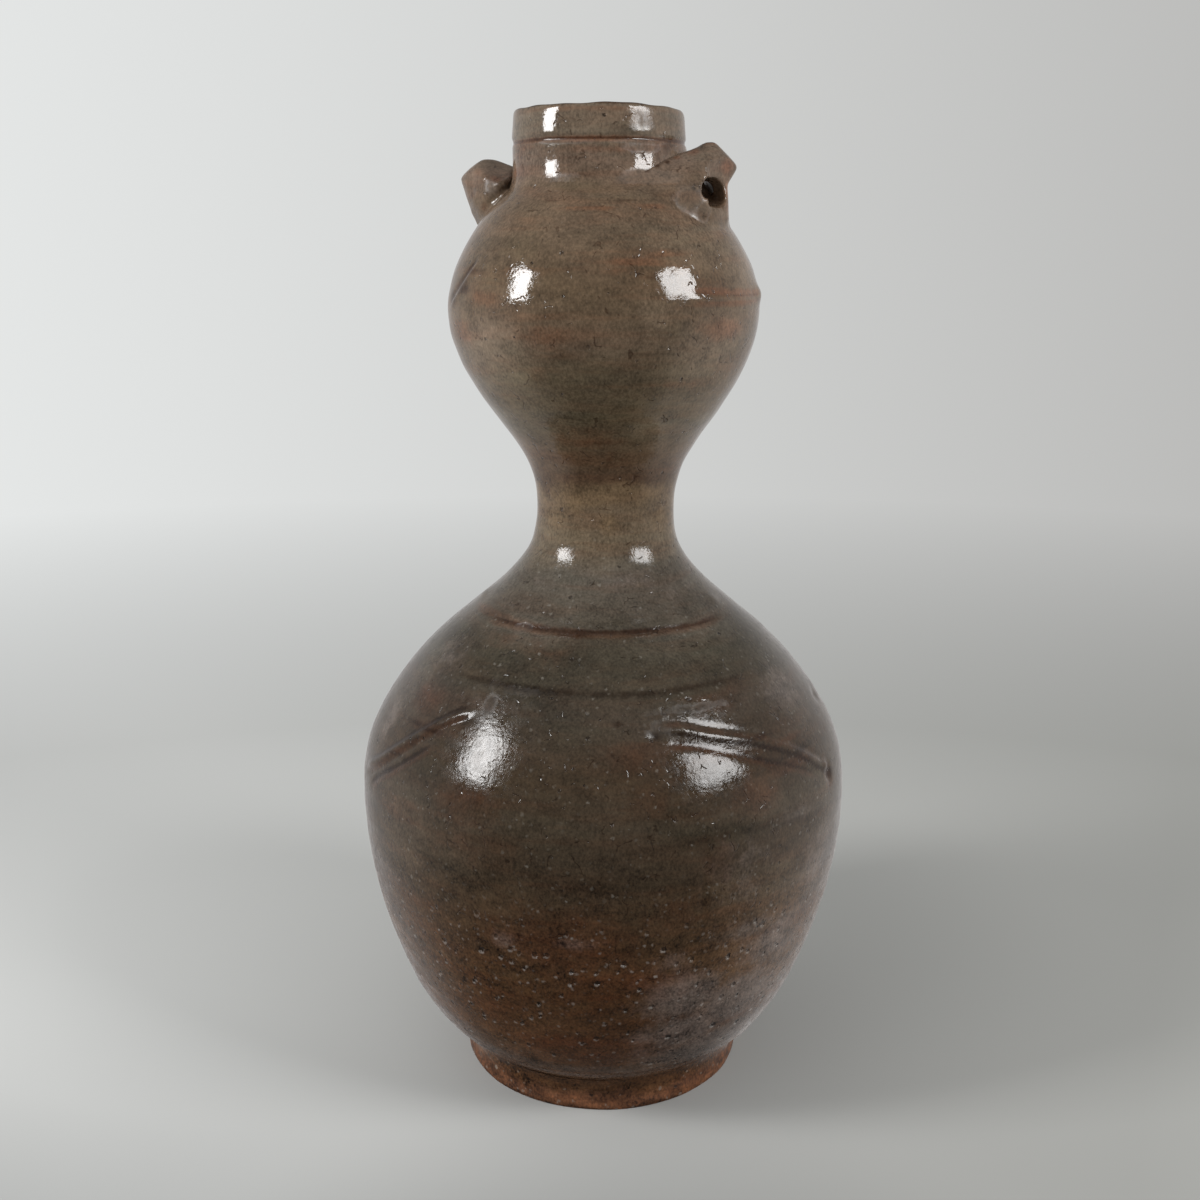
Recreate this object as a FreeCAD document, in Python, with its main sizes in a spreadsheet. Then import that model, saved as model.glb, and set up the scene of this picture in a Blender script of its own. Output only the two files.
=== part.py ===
import FreeCAD, Part
import math
import os
import Sketcher

# Double-gourd bottle vase of thrown stoneware, in millimetres.
# The origin is the centre of the ring that the vase stands on, +Z is up,
# and the two lug ears sit on the +X and -X sides of the mouth.

SIZES = [
    ("Foot ring", None),
    ("foot_radius", 40.3),
    ("foot_flare", 0.9),
    ("foot_height", 10.0),
    ("foot_wall", 7.2),
    ("foot_bevel", 1.0),
    ("register_depth", 2.0),
    ("Lower bulb", None),
    ("belly_radius", 69.4),
    ("belly_rise", 72.0),
    ("shoulder_rise", 84.0),
    ("waist_radius", 18.9),
    ("floor_thickness", 6.0),
    ("wall", 4.5),
    ("Turned grooves on the shoulder", None),
    ("high_groove_drop", 28.3),
    ("low_groove_drop", 40.5),
    ("groove_round", 1.3),
    ("groove_depth", 0.6),
    ("Waist seam", None),
    ("tongue_wall", 2.0),
    ("tongue_length", 5.0),
    ("slip_gap", 0.2),
    ("Upper bulb", None),
    ("crown_radius", 41.8),
    ("crown_rise", 53.5),
    ("neck_rise", 32.0),
    ("Mouth collar", None),
    ("collar_radius", 23.1),
    ("collar_rise", 18.5),
    ("collar_wall", 4.5),
    ("rim_step", 0.2),
    ("lip_round", 1.5),
    ("spigot_wall", 2.2),
    ("spigot_length", 3.0),
    ("line_drop", 8.4),
    ("line_width", 1.6),
    ("line_depth", 0.9),
    ("Lug ears", None),
    ("ear_drop", 5.6),
    ("ear_lean", 21.0),
    ("ear_twist", 20.0),
    ("ear_span", 20.0),
    ("ear_crown", 11.0),
    ("ear_ankle", 3.1),
    ("ear_rise", 12.3),
    ("ear_crest", 13.8),
    ("ear_root", 8.0),
    ("ear_tuck", 4.0),
    ("ear_front", 5.0),
    ("ear_brow", 4.3),
    ("ear_back", 4.0),
    ("ear_heel", 13.0),
    ("ear_round", 2.5),
    ("seat_depth", 0.6),
    ("hole_sill", 0.8),
    ("hole_rise", 6.7),
    ("hole_base", 9.5),
    ("hole_top", 6.0),
    ("Making", None),
    ("overrun", 1.0),
]

# Stations of the thrown outline, bottom to top: how far up a stretch a
# station lies, and how far its radius has gone from the stretch's narrow
# end to its wide one.
BELLY_SHARES = [(0.0, 0.0), (0.11, 0.297), (0.25, 0.528), (0.444, 0.731), (0.694, 0.91), (1.0, 1.0)]
SHOULDER_SHARES = [(0.214, 0.955), (0.357, 0.833), (0.5, 0.645), (0.643, 0.388), (0.738, 0.201),
                   (0.81, 0.091), (0.857, 0.042), (0.905, 0.0145), (0.952, 0.003), (1.0, 0.0)]
CROWN_SHARES = [(0.075, 0.011), (0.15, 0.046), (0.3, 0.2), (0.449, 0.438), (0.598, 0.685),
                (0.785, 0.904), (1.0, 1.0)]
NECK_SHARES = [(0.266, 0.928), (0.484, 0.773), (0.672, 0.567), (0.844, 0.316), (1.0, 0.0)]
WAIST_STATION = len(BELLY_SHARES) + len(SHOULDER_SHARES) - 1

# The most of the collar's wall that the round of its lip may take, and how
# closely, as a share of the curve, a height is found on it.
LIP_WALL_SHARE = 0.4
SEARCH_SHARE = 1e-9


def fillSheet(doc):
    sheet = doc.addObject("Spreadsheet::Sheet", "Sizes")
    for row, (name, size) in enumerate(SIZES, start=1):
        sheet.set(f"A{row}", name)
        if size is not None:
            sheet.set(f"B{row}", str(size))
            sheet.setAlias(f"B{row}", name)
    doc.recompute()
    return sheet


def addWorkedOut(sheet, sizes):
    """Adds the sizes that follow from the outline, each under its own alias."""
    for row, (name, size) in enumerate(sizes.items(), start=1):
        sheet.set(f"D{row}", name)
        sheet.set(f"E{row}", repr(size))
        sheet.setAlias(f"E{row}", name)
    sheet.Document.recompute()


def bind(item, expressions):
    for name, expression in expressions.items():
        item.setExpression(name, expression)


def spanStations(shares, low, rise, narrow, wide):
    stations = []
    for heightShare, radiusShare in shares:
        stations.append(FreeCAD.Vector(narrow + (wide - narrow) * radiusShare, 0, low + rise * heightShare))
    return stations


def thrownCurve(stations):
    curve = Part.BSplineCurve()
    curve.interpolate(stations)
    return curve


def outwardAt(curve, point):
    tangent = curve.tangent(curve.parameter(point))[0]
    return FreeCAD.Vector(tangent.z, 0, -tangent.x)


def insetStations(stations, depth):
    curve = thrownCurve(stations)
    return [point - outwardAt(curve, point) * depth for point in stations]


def splitAtWaist(stations):
    """The curves below and above the waist, cut from one smooth outline."""
    whole = thrownCurve(stations)
    waist = whole.parameter(stations[WAIST_STATION])
    lower = whole.copy()
    lower.segment(whole.FirstParameter, waist)
    upper = whole.copy()
    upper.segment(waist, whole.LastParameter)
    return lower, upper


def turnedFace(curve, tail):
    """The half section between a thrown curve and the axis, with a straight
    tail of the given length below the curve."""
    corners = [curve.EndPoint, FreeCAD.Vector(0, 0, curve.EndPoint.z)]
    corners.append(FreeCAD.Vector(0, 0, curve.StartPoint.z - tail))
    if tail:
        corners.append(FreeCAD.Vector(curve.StartPoint.x, 0, curve.StartPoint.z - tail))
    corners.append(curve.StartPoint)
    edges = [curve.toShape()]
    for corner, following in zip(corners, corners[1:]):
        edges.append(Part.LineSegment(corner, following).toShape())
    return Part.Face(Part.Wire(edges))


def turnedSolid(doc, name, curve, tail=0):
    section = doc.addObject("Part::Feature", name + "_section")
    section.Shape = turnedFace(curve, tail)
    turned = doc.addObject("Part::Revolution", name)
    turned.Source = section
    turned.Axis = FreeCAD.Vector(0, 0, 1)
    turned.Angle = 360
    turned.Solid = True
    return turned


def cylinder(doc, name, radius, height, base):
    tube = doc.addObject("Part::Cylinder", name)
    bind(tube, {"Radius": radius, "Height": height, "Placement.Base.z": base})
    return tube


def cut(doc, name, base, tools):
    for index, tool in enumerate(tools):
        step = doc.addObject("Part::Cut", f"{name}_cut{index}")
        step.Base = base
        step.Tool = tool
        base = step
    return base


def fuse(doc, name, base, tool):
    step = doc.addObject("Part::Fuse", name)
    step.Base = base
    step.Tool = tool
    return step


def finished(item, label):
    item.Label = label
    return item


def addBody(doc, name):
    return doc.addObject("PartDesign::Body", name)


def addSketch(body, name, role):
    sketch = body.newObject("Sketcher::SketchObject", name)
    plane = [feature for feature in body.Origin.OriginFeatures if feature.Role == role][0]
    sketch.AttachmentSupport = [(plane, "")]
    sketch.MapMode = "FlatFace"
    return sketch


def drawOutline(sketch, corners):
    """Draws a closed outline whose corners are pairs of expressions."""
    places = [(float(sketch.evalExpression(across)), float(sketch.evalExpression(along)))
              for across, along in corners]
    first = sketch.GeometryCount
    count = len(corners)
    for index, place in enumerate(places):
        following = places[(index + 1) % count]
        sketch.addGeometry(Part.LineSegment(FreeCAD.Vector(*place, 0), FreeCAD.Vector(*following, 0)))
    for index in range(count):
        following = first + (index + 1) % count
        sketch.addConstraint(Sketcher.Constraint("Coincident", first + index, 2, following, 1))
    for index, (corner, place) in enumerate(zip(corners, places)):
        for kind, expression, value in zip(("DistanceX", "DistanceY"), corner, place):
            constraint = sketch.addConstraint(
                Sketcher.Constraint(kind, -1, 1, first + index, 1, value))
            sketch.setExpression(f"Constraints[{constraint}]", expression)


def revolveSketch(body, name, sketch):
    turned = body.newObject("PartDesign::Revolution", name)
    turned.Profile = sketch
    turned.ReferenceAxis = (sketch, ["V_Axis"])
    turned.Angle = 360
    return turned


def edgesWhere(shape, test):
    return [f"Edge{index}" for index, edge in enumerate(shape.Edges, start=1) if test(edge)]


def makeStations(sheet):
    """The stations of the outside of both bulbs, from the foot to the collar."""
    footTop = sheet.foot_height
    belly = footTop + sheet.belly_rise
    waist = belly + sheet.shoulder_rise
    crown = waist + sheet.crown_rise
    stations = spanStations(BELLY_SHARES, footTop, sheet.belly_rise,
                            sheet.foot_radius + sheet.foot_flare, sheet.belly_radius)
    stations += spanStations(SHOULDER_SHARES, belly, sheet.shoulder_rise,
                             sheet.waist_radius, sheet.belly_radius)
    stations += spanStations(CROWN_SHARES, waist, sheet.crown_rise,
                             sheet.waist_radius, sheet.crown_radius)
    stations += spanStations(NECK_SHARES, crown, sheet.neck_rise,
                             sheet.collar_radius, sheet.crown_radius)
    return stations


def pointAtHeight(curve, height):
    """Where the outline passes a height, found by halving the curve."""
    low = curve.FirstParameter
    high = curve.LastParameter
    while high - low > curve.LastParameter * SEARCH_SHARE:
        middle = (low + high) / 2
        if curve.value(middle).z < height:
            low = middle
        else:
            high = middle
    return curve.value(low)


def placeGroove(sheet, curve, name):
    """Works out the ring that a round-nosed tool sweeps to leave a groove."""
    drop = sheet.get(name + "_drop")
    point = pointAtHeight(curve, curve.EndPoint.z - drop)
    centre = point + outwardAt(curve, point) * (sheet.groove_round - sheet.groove_depth)
    return {name + "_ring": centre.x, name + "_height": centre.z}


def placeEars(sheet, curve):
    """Works out the point of the shoulder that the ears are set on."""
    seat = pointAtHeight(curve, curve.EndPoint.z - sheet.ear_drop)
    return {"ear_seat_radius": seat.x, "ear_seat_height": seat.z}


def grooveTool(doc, name):
    ring = doc.addObject("Part::Torus", name)
    bind(ring, {
        "Radius1": f"Sizes.{name}_ring",
        "Radius2": "Sizes.groove_round",
        "Placement.Base.z": f"Sizes.{name}_height",
    })
    return ring


def makeFootRing(doc):
    body = addBody(doc, "foot_ring_body")
    sketch = addSketch(body, "foot_ring_section", "XZ_Plane")
    bore = "Sizes.foot_radius - Sizes.foot_wall"
    drawOutline(sketch, [
        (bore + " + Sizes.foot_bevel", "0 mm"),
        ("Sizes.foot_radius - Sizes.foot_bevel", "0 mm"),
        ("Sizes.foot_radius", "Sizes.foot_bevel"),
        ("Sizes.foot_radius + Sizes.foot_flare", "Sizes.foot_height"),
        (bore, "Sizes.foot_height"),
        (bore, "Sizes.foot_bevel"),
    ])
    revolveSketch(body, "foot_ring_turning", sketch)
    return finished(body, "foot_ring")


def makeLowerBulb(doc, curve, innerCurve):
    """The lower gourd, with its floor, the boss that drops into the foot
    ring, the socket for the upper bulb's tongue and two turned grooves."""
    outer = turnedSolid(doc, "lower_outside", curve)
    boss = cylinder(doc, "foot_boss", "Sizes.foot_radius - Sizes.foot_wall - Sizes.slip_gap",
                    "Sizes.register_depth + Sizes.overrun",
                    "Sizes.foot_height - Sizes.register_depth")
    blank = fuse(doc, "lower_blank", outer, boss)
    hollow = turnedSolid(doc, "lower_hollow", innerCurve)
    floor = cylinder(doc, "floor_level", "Sizes.belly_radius",
                     "Sizes.foot_height + Sizes.floor_thickness", "0 mm")
    cavity = cut(doc, "lower_cavity", hollow, [floor])
    socket = cylinder(doc, "waist_socket",
                      "Sizes.waist_radius - Sizes.wall + Sizes.tongue_wall + Sizes.slip_gap",
                      "Sizes.tongue_length + Sizes.slip_gap + Sizes.overrun",
                      "Sizes.foot_height + Sizes.belly_rise + Sizes.shoulder_rise"
                      " - Sizes.tongue_length - Sizes.slip_gap")
    grooves = [grooveTool(doc, name) for name in ("high_groove", "low_groove")]
    return finished(cut(doc, "lower_bulb", blank, [cavity, socket] + grooves), "lower_bulb")


def makeUpperBulb(doc, sheet, curve, innerCurve, ears):
    """The upper gourd, with the tongue that drops into the lower bulb, the
    bored mouth that takes the collar and the scored seats of the ears."""
    waist = "Sizes.foot_height + Sizes.belly_rise + Sizes.shoulder_rise"
    seat = waist + " + Sizes.crown_rise + Sizes.neck_rise"
    outer = turnedSolid(doc, "upper_outside", curve)
    tongue = cylinder(doc, "waist_tongue", "Sizes.waist_radius - Sizes.wall + Sizes.tongue_wall",
                      "Sizes.tongue_length + Sizes.overrun", waist + " - Sizes.tongue_length")
    blank = fuse(doc, "upper_blank", outer, tongue)
    hollow = turnedSolid(doc, "upper_hollow", innerCurve, sheet.tongue_length + sheet.overrun)
    mouth = cylinder(doc, "collar_socket",
                     "Sizes.collar_radius - Sizes.collar_wall + Sizes.spigot_wall + Sizes.slip_gap",
                     "2 * Sizes.wall + Sizes.overrun", seat + " - 2 * Sizes.wall")
    return finished(cut(doc, "upper_bulb", blank, [hollow, mouth] + ears), "upper_bulb")


def makeCollar(doc):
    """The upright mouth, with a line turned under its rim and a spigot
    that drops into the upper bulb."""
    body = addBody(doc, "collar_body")
    sketch = addSketch(body, "collar_section", "XZ_Plane")
    seat = ("Sizes.foot_height + Sizes.belly_rise + Sizes.shoulder_rise"
            " + Sizes.crown_rise + Sizes.neck_rise")
    top = seat + " + Sizes.collar_rise"
    line = top + " - Sizes.line_drop"
    bore = "Sizes.collar_radius - Sizes.collar_wall"
    rim = "Sizes.collar_radius - Sizes.rim_step"
    drawOutline(sketch, [
        (bore, seat + " - Sizes.spigot_length"),
        (bore + " + Sizes.spigot_wall", seat + " - Sizes.spigot_length"),
        (bore + " + Sizes.spigot_wall", seat),
        ("Sizes.collar_radius", seat),
        ("Sizes.collar_radius", line + " - Sizes.line_width / 2"),
        ("Sizes.collar_radius - Sizes.line_depth", line),
        (rim, line + " + Sizes.line_width / 2"),
        (rim, top),
        (bore, top),
    ])
    turned = revolveSketch(body, "collar_turning", sketch)
    doc.recompute()
    height = turned.Shape.BoundBox.ZMax
    lip = body.newObject("PartDesign::Fillet", "collar_lip")
    lip.Base = (turned, edgesWhere(turned.Shape, lambda edge: edge.BoundBox.ZMin == edge.BoundBox.ZMax
                                   and math.isclose(edge.BoundBox.ZMax, height)))
    rimWall = "(Sizes.collar_wall - Sizes.rim_step)"
    bind(lip, {"Radius": f"min(Sizes.lip_round; {rimWall} * {LIP_WALL_SHARE})"})
    return finished(body, "mouth_collar")


def runsAlongHole(edge, height):
    """Whether an edge lies along the hole's axis at the given height."""
    box = edge.BoundBox
    return box.XLength > box.YLength and math.isclose(box.ZMin, height) and math.isclose(box.ZMax, height)


def makeEarBlank(doc, side):
    """A pinched strap: its arched front view, run through along the hole,
    and its side view, run through across the strap, taken together."""
    front = addBody(doc, f"{side}_front")
    frontView = addSketch(front, f"{side}_front_view", "YZ_Plane")
    drawOutline(frontView, [
        ("-Sizes.ear_span / 2", "-Sizes.ear_root"),
        ("Sizes.ear_span / 2", "-Sizes.ear_root"),
        ("Sizes.ear_span / 2", "0 mm"),
        ("Sizes.ear_crown / 2", "Sizes.ear_crest"),
        ("-Sizes.ear_crown / 2", "Sizes.ear_crest"),
        ("-Sizes.ear_span / 2", "0 mm"),
    ])
    drawOutline(frontView, [
        ("-Sizes.hole_base / 2", "Sizes.hole_sill"),
        ("Sizes.hole_base / 2", "Sizes.hole_sill"),
        ("Sizes.hole_top / 2", "Sizes.hole_sill + Sizes.hole_rise"),
        ("-Sizes.hole_top / 2", "Sizes.hole_sill + Sizes.hole_rise"),
    ])
    bind(frontView, {".AttachmentOffset.Base.z": "-Sizes.ear_heel - Sizes.overrun"})
    arch = front.newObject("PartDesign::Pad", f"{side}_arch")
    arch.Profile = frontView
    bind(arch, {"Length": "Sizes.ear_heel + Sizes.ear_front + 2 * Sizes.overrun"})
    doc.recompute()
    crest = arch.Shape.BoundBox.ZMax
    crown = front.newObject("PartDesign::Fillet", f"{side}_crown")
    crown.Base = (arch, edgesWhere(arch.Shape, lambda edge: runsAlongHole(edge, crest)))
    bind(crown, {"Radius": "Sizes.ear_round"})
    sideBody = addBody(doc, f"{side}_side")
    sideView = addSketch(sideBody, f"{side}_side_view", "XZ_Plane")
    drawOutline(sideView, [
        ("-Sizes.ear_heel", "-Sizes.ear_root"),
        ("Sizes.ear_front", "-Sizes.ear_root"),
        ("Sizes.ear_front", "Sizes.ear_ankle"),
        ("Sizes.ear_brow", "Sizes.ear_rise"),
        ("-Sizes.ear_back", "Sizes.ear_crest"),
        ("-Sizes.ear_heel", "-Sizes.ear_tuck"),
    ])
    slab = sideBody.newObject("PartDesign::Pad", f"{side}_slab")
    slab.Profile = sideView
    slab.Midplane = True
    bind(slab, {"Length": "Sizes.ear_span + 2 * Sizes.overrun"})
    blank = doc.addObject("Part::Common", f"{side}_blank")
    blank.Base = front
    blank.Tool = sideBody
    return blank


def makeEar(doc, side, turn, trims):
    """One lug ear, leaning out over the shoulder and trimmed to sit in its
    scored seat against the collar."""
    blank = makeEarBlank(doc, side)
    reach = "Sizes.ear_seat_radius"
    bind(blank, {
        ".Placement.Base.x": f"{reach} * cos({turn})",
        ".Placement.Base.y": f"{reach} * sin({turn})",
        ".Placement.Base.z": "Sizes.ear_seat_height",
        ".Placement.Rotation": f"rotation(vector(0; 0; 1); {turn} - Sizes.ear_twist)"
                               " * rotation(vector(0; 1; 0); Sizes.ear_lean)",
    })
    return finished(cut(doc, side, blank, trims), side)


def checkDocument(doc, pieces):
    for item in doc.Objects:
        if "Invalid" in item.State or "Error" in item.State:
            raise RuntimeError(f"{item.Name} failed: {item.State}")
    for piece in pieces:
        shape = piece.Shape
        if shape.isNull() or not shape.isValid() or len(shape.Solids) != 1:
            raise RuntimeError(f"{piece.Label} is not one sound solid")
        print(piece.Label, "volume", round(shape.Volume), "box", shape.BoundBox)


def main():
    doc = FreeCAD.newDocument("gourd_vase")
    sheet = fillSheet(doc)
    stations = makeStations(sheet)
    lowerCurve, upperCurve = splitAtWaist(stations)
    lowerInside, upperInside = splitAtWaist(insetStations(stations, sheet.wall))
    scoring = splitAtWaist(insetStations(stations, sheet.seat_depth))[1]
    addWorkedOut(sheet, {
        **placeGroove(sheet, lowerCurve, "high_groove"),
        **placeGroove(sheet, lowerCurve, "low_groove"),
        **placeEars(sheet, upperCurve),
    })

    trims = [
        turnedSolid(doc, "ear_seating", scoring),
        cylinder(doc, "collar_side", "Sizes.collar_radius",
                 "Sizes.collar_rise + 2 * Sizes.wall",
                 "Sizes.foot_height + Sizes.belly_rise + Sizes.shoulder_rise + Sizes.crown_rise"
                 " + Sizes.neck_rise - 2 * Sizes.wall"),
    ]
    ears = [makeEar(doc, "ear_right", "0", trims), makeEar(doc, "ear_left", "180", trims)]
    pieces = [
        makeFootRing(doc),
        makeLowerBulb(doc, lowerCurve, lowerInside),
        makeUpperBulb(doc, sheet, upperCurve, upperInside, ears),
        makeCollar(doc),
    ] + ears
    doc.recompute()
    checkDocument(doc, pieces)
    os.makedirs("parts", exist_ok=True)
    for piece in pieces:
        piece.Shape.exportStep(f"parts/{piece.Label}.step")


main()
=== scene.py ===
import math
import bmesh
import bpy
import numpy as np
from mathutils import Matrix, Vector, noise
from mathutils.bvhtree import BVHTree


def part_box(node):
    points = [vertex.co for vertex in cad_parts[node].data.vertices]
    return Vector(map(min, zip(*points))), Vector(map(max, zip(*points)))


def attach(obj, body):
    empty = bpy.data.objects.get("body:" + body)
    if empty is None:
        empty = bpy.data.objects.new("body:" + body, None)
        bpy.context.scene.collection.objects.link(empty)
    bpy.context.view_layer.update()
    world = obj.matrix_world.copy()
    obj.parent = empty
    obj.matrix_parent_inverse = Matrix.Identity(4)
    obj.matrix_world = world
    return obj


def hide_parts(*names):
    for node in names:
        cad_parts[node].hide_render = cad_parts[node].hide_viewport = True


# Double-gourd stoneware vase under a mottled olive-brown glaze, with two lug ears and a bare foot.
# Lengths are in millimetres times mm. Directions round the pot are in degrees: 0 faces the
# camera and 90 is its right-hand side.

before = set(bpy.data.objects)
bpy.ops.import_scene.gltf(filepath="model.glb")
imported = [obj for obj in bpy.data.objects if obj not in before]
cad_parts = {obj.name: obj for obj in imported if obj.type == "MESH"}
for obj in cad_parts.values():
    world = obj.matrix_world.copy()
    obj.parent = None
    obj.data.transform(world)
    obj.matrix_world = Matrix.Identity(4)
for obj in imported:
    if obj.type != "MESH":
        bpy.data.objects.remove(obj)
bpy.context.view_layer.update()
mm = 0.001

camera = {
    "turn": 25.0,          # degrees round the pot from its front
    "distance": 388.34 * mm,
    "height": 233.19 * mm,
    "tilt": 13.806,        # degrees down
    "pan": 0.154,          # degrees to the left, which sets the pot a little right of centre
    "lens": 42.0,
    "sensor": 36.0,
    "nearest": 10 * mm,    # anything closer isn't drawn
}


def heading(degrees):
    turn = math.radians(degrees + camera["turn"])
    return Vector((math.sin(turn), -math.cos(turn), 0))


def addToScene(name, data):
    item = bpy.data.objects.new(name, data)
    bpy.context.scene.collection.objects.link(item)
    return item


def meshItem(name, shape):      # the shape as an object of the scene
    mesh = bpy.data.meshes.new(name)
    shape.to_mesh(mesh)
    shape.free()
    return addToScene(name, mesh)


def makeCamera():
    data = bpy.data.cameras.new("photoCamera")
    data.lens = camera["lens"]
    data.sensor_width = camera["sensor"]
    data.clip_start = camera["nearest"]
    item = addToScene("photoCamera", data)
    item.location = heading(0) * camera["distance"] + Vector((0, 0, camera["height"]))
    item.rotation_euler = (math.radians(90 - camera["tilt"]), 0,
                           math.radians(camera["turn"] + camera["pan"]))
    bpy.context.scene.camera = item


# Shader helpers

def put(tree, kind, links=None, **settings):
    node = tree.nodes.new(kind)
    for name, value in settings.items():
        setattr(node, name, value)
    for name, value in (links or {}).items():
        if isinstance(value, bpy.types.NodeSocket):
            tree.links.new(value, node.inputs[name])
        else:
            node.inputs[name].default_value = value
    return node


def newMaterial(name):
    material = bpy.data.materials.new(name)
    material.use_nodes = True
    material.node_tree.nodes.clear()
    return material, material.node_tree


def math2(tree, operation, first, second=0.0, third=0.0, clamp=False):
    return put(tree, "ShaderNodeMath", {0: first, 1: second, 2: third},
               operation=operation, use_clamp=clamp).outputs[0]


def times(tree, first, second):
    return math2(tree, "MULTIPLY", first, second)


def addTimes(tree, first, second, base):        # first times second, added to base
    return math2(tree, "MULTIPLY_ADD", first, second, base)


def vectorMath(tree, operation, first, second=(0, 0, 0), scale=1.0):
    node = put(tree, "ShaderNodeVectorMath", {0: first, 1: second, 3: scale}, operation=operation)
    return node.outputs["Value" if operation in ("DOT_PRODUCT", "LENGTH") else "Vector"]


def noiseTexture(tree, where, scale, detail=2.0, roughness=0.5):
    return put(tree, "ShaderNodeTexNoise",
               {"Vector": where, "Scale": scale, "Detail": detail, "Roughness": roughness}).outputs


def blend(tree, amount, first, second, mode="MIX"):
    node = put(tree, "ShaderNodeMix", {0: amount, 6: first, 7: second},
               data_type="RGBA", blend_type=mode)
    return node.outputs[2]


def tint(tree, amount, colour, tone):           # multiplies the colour by the tone
    return blend(tree, amount, colour, blend(tree, 1.0, colour, tone, "MULTIPLY"))


def ramp(tree, value, low, high, lowTo=0.0, highTo=1.0, shape="SMOOTHSTEP"):
    node = put(tree, "ShaderNodeMapRange", {0: value, 1: low, 2: high, 3: lowTo, 4: highTo},
               interpolation_type=shape)
    return node.outputs[0]


# The room. A spread is the two ends of a fade, as shares of a direction.

room = {
    "tableRadius": 4.0,
    # Painted light: the table and the backdrop are coloured lighter on the left and darker on the right, as
    # the room's light falls.
    "tableLitLeft": (0.60, 0.605, 0.595, 1),
    "tableShadedRight": (0.37, 0.37, 0.355, 1),
    "paintedShadows": [            # painted shadows of the pot on the table: degrees round, metres out, reach, what is left
        (-40, 0.28, 0.25, 0.56), (0, 0.17, 0.14, 0.62), (20, 0.21, 0.20, 0.86), (150, 0.09, 0.14, 0.84),
    ],
    "shadowCore": 0.25,     # share of each painted shadow's reach that is fully dark
    "sweepNear": 0.694,    # metres from below the camera where the table starts to fade away
    "sweepFar": 1.39,
    "backdropLitLeft": (0.78, 0.795, 0.79, 1),
    "backdropShadedRight": (0.50, 0.50, 0.49, 1),
    "sideSpread": (-0.40, 0.40),
    "front": (0.16, 0.16, 0.165, 1),
    "litSpread": (0.1, 0.85),
    "mirroredFront": (0.07, 0.07, 0.07, 1),     # what the glaze shows of the camera's side of the room,
    "mirroredLeft": (0.53, 0.52, 0.52, 1),      # of its sides and back,
    "mirroredRight": (0.61, 0.59, 0.58, 1),
    "mirroredTop": (0.16, 0.16, 0.16, 1),       # and of its ceiling
    "frontTurn": -4,
    "frontSpread": (-0.02, 0.82),
    "topSpread": (0.10, 0.75),
}
lamps = {
    "leftWindow": {"turn": -66.0, "reach": 520 * mm, "height": 420 * mm,
                   "wide": 142 * mm, "tall": 205 * mm, "power": 2.25},
    "rightWindow": {"turn": 58.0, "reach": 540 * mm, "height": 440 * mm,
                    "wide": 235 * mm, "tall": 200 * mm, "power": 2.3},
}
lampAim = 170 * mm         # height on the pot's axis


def towards(tree, direction, degrees):
    return vectorMath(tree, "DOT_PRODUCT", direction, heading(degrees))


def sideShare(tree, place):     # 0 at the picture's left and 1 at its right, seen from the camera's foot
    level = vectorMath(tree, "MULTIPLY", place, (1, 1, 0))
    side = math2(tree, "DIVIDE", towards(tree, level, 90), vectorMath(tree, "LENGTH", level))
    return ramp(tree, side, *room["sideSpread"], shape="LINEAR")


def mirroredRoom(tree, place):  # the room's tone in the glaze, by direction round the pot
    level = vectorMath(tree, "NORMALIZE", vectorMath(tree, "MULTIPLY", place, (1, 1, 0)))
    sides = blend(tree, ramp(tree, towards(tree, level, 90), -1.0, 1.0),
                  room["mirroredLeft"], room["mirroredRight"])
    front = ramp(tree, towards(tree, level, room["frontTurn"]), *room["frontSpread"])
    return blend(tree, front, sides, room["mirroredFront"])


def makeWorld():
    world = bpy.data.worlds.new("studio")
    bpy.context.scene.world = world
    world.use_nodes = True
    tree = world.node_tree
    tree.nodes.clear()
    direction = put(tree, "ShaderNodeTexCoord").outputs["Generated"]
    # the backdrop that the camera sees, with painted light that is lighter on the left
    seen = blend(tree, sideShare(tree, direction), room["backdropLitLeft"], room["backdropShadedRight"])
    front = ramp(tree, towards(tree, direction, 0), *room["litSpread"])
    lit = blend(tree, front, seen, room["front"])
    upward = put(tree, "ShaderNodeSeparateXYZ", {0: direction}).outputs[2]
    mirrored = blend(tree, ramp(tree, upward, *room["topSpread"]),
                     mirroredRoom(tree, direction), room["mirroredTop"])
    rays = put(tree, "ShaderNodeLightPath").outputs
    tone = blend(tree, rays["Is Glossy Ray"], lit, mirrored)
    tone = blend(tree, rays["Is Camera Ray"], tone, seen)
    background = put(tree, "ShaderNodeBackground", {"Color": tone, "Strength": 1.0})
    put(tree, "ShaderNodeOutputWorld", {"Surface": background.outputs[0]})


def makeLamps():
    for name, lamp in lamps.items():
        data = bpy.data.lights.new(name, "AREA")
        data.shape = "RECTANGLE"
        data.size = lamp["wide"]
        data.size_y = lamp["tall"]
        data.energy = lamp["power"]
        item = addToScene(name, data)
        item.location = heading(lamp["turn"]) * lamp["reach"] + Vector((0, 0, lamp["height"]))
        aim = Vector((0, 0, lampAim)) - item.location
        item.rotation_euler = aim.to_track_quat("-Z", "Y").to_euler()
        item.visible_camera = False


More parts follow.
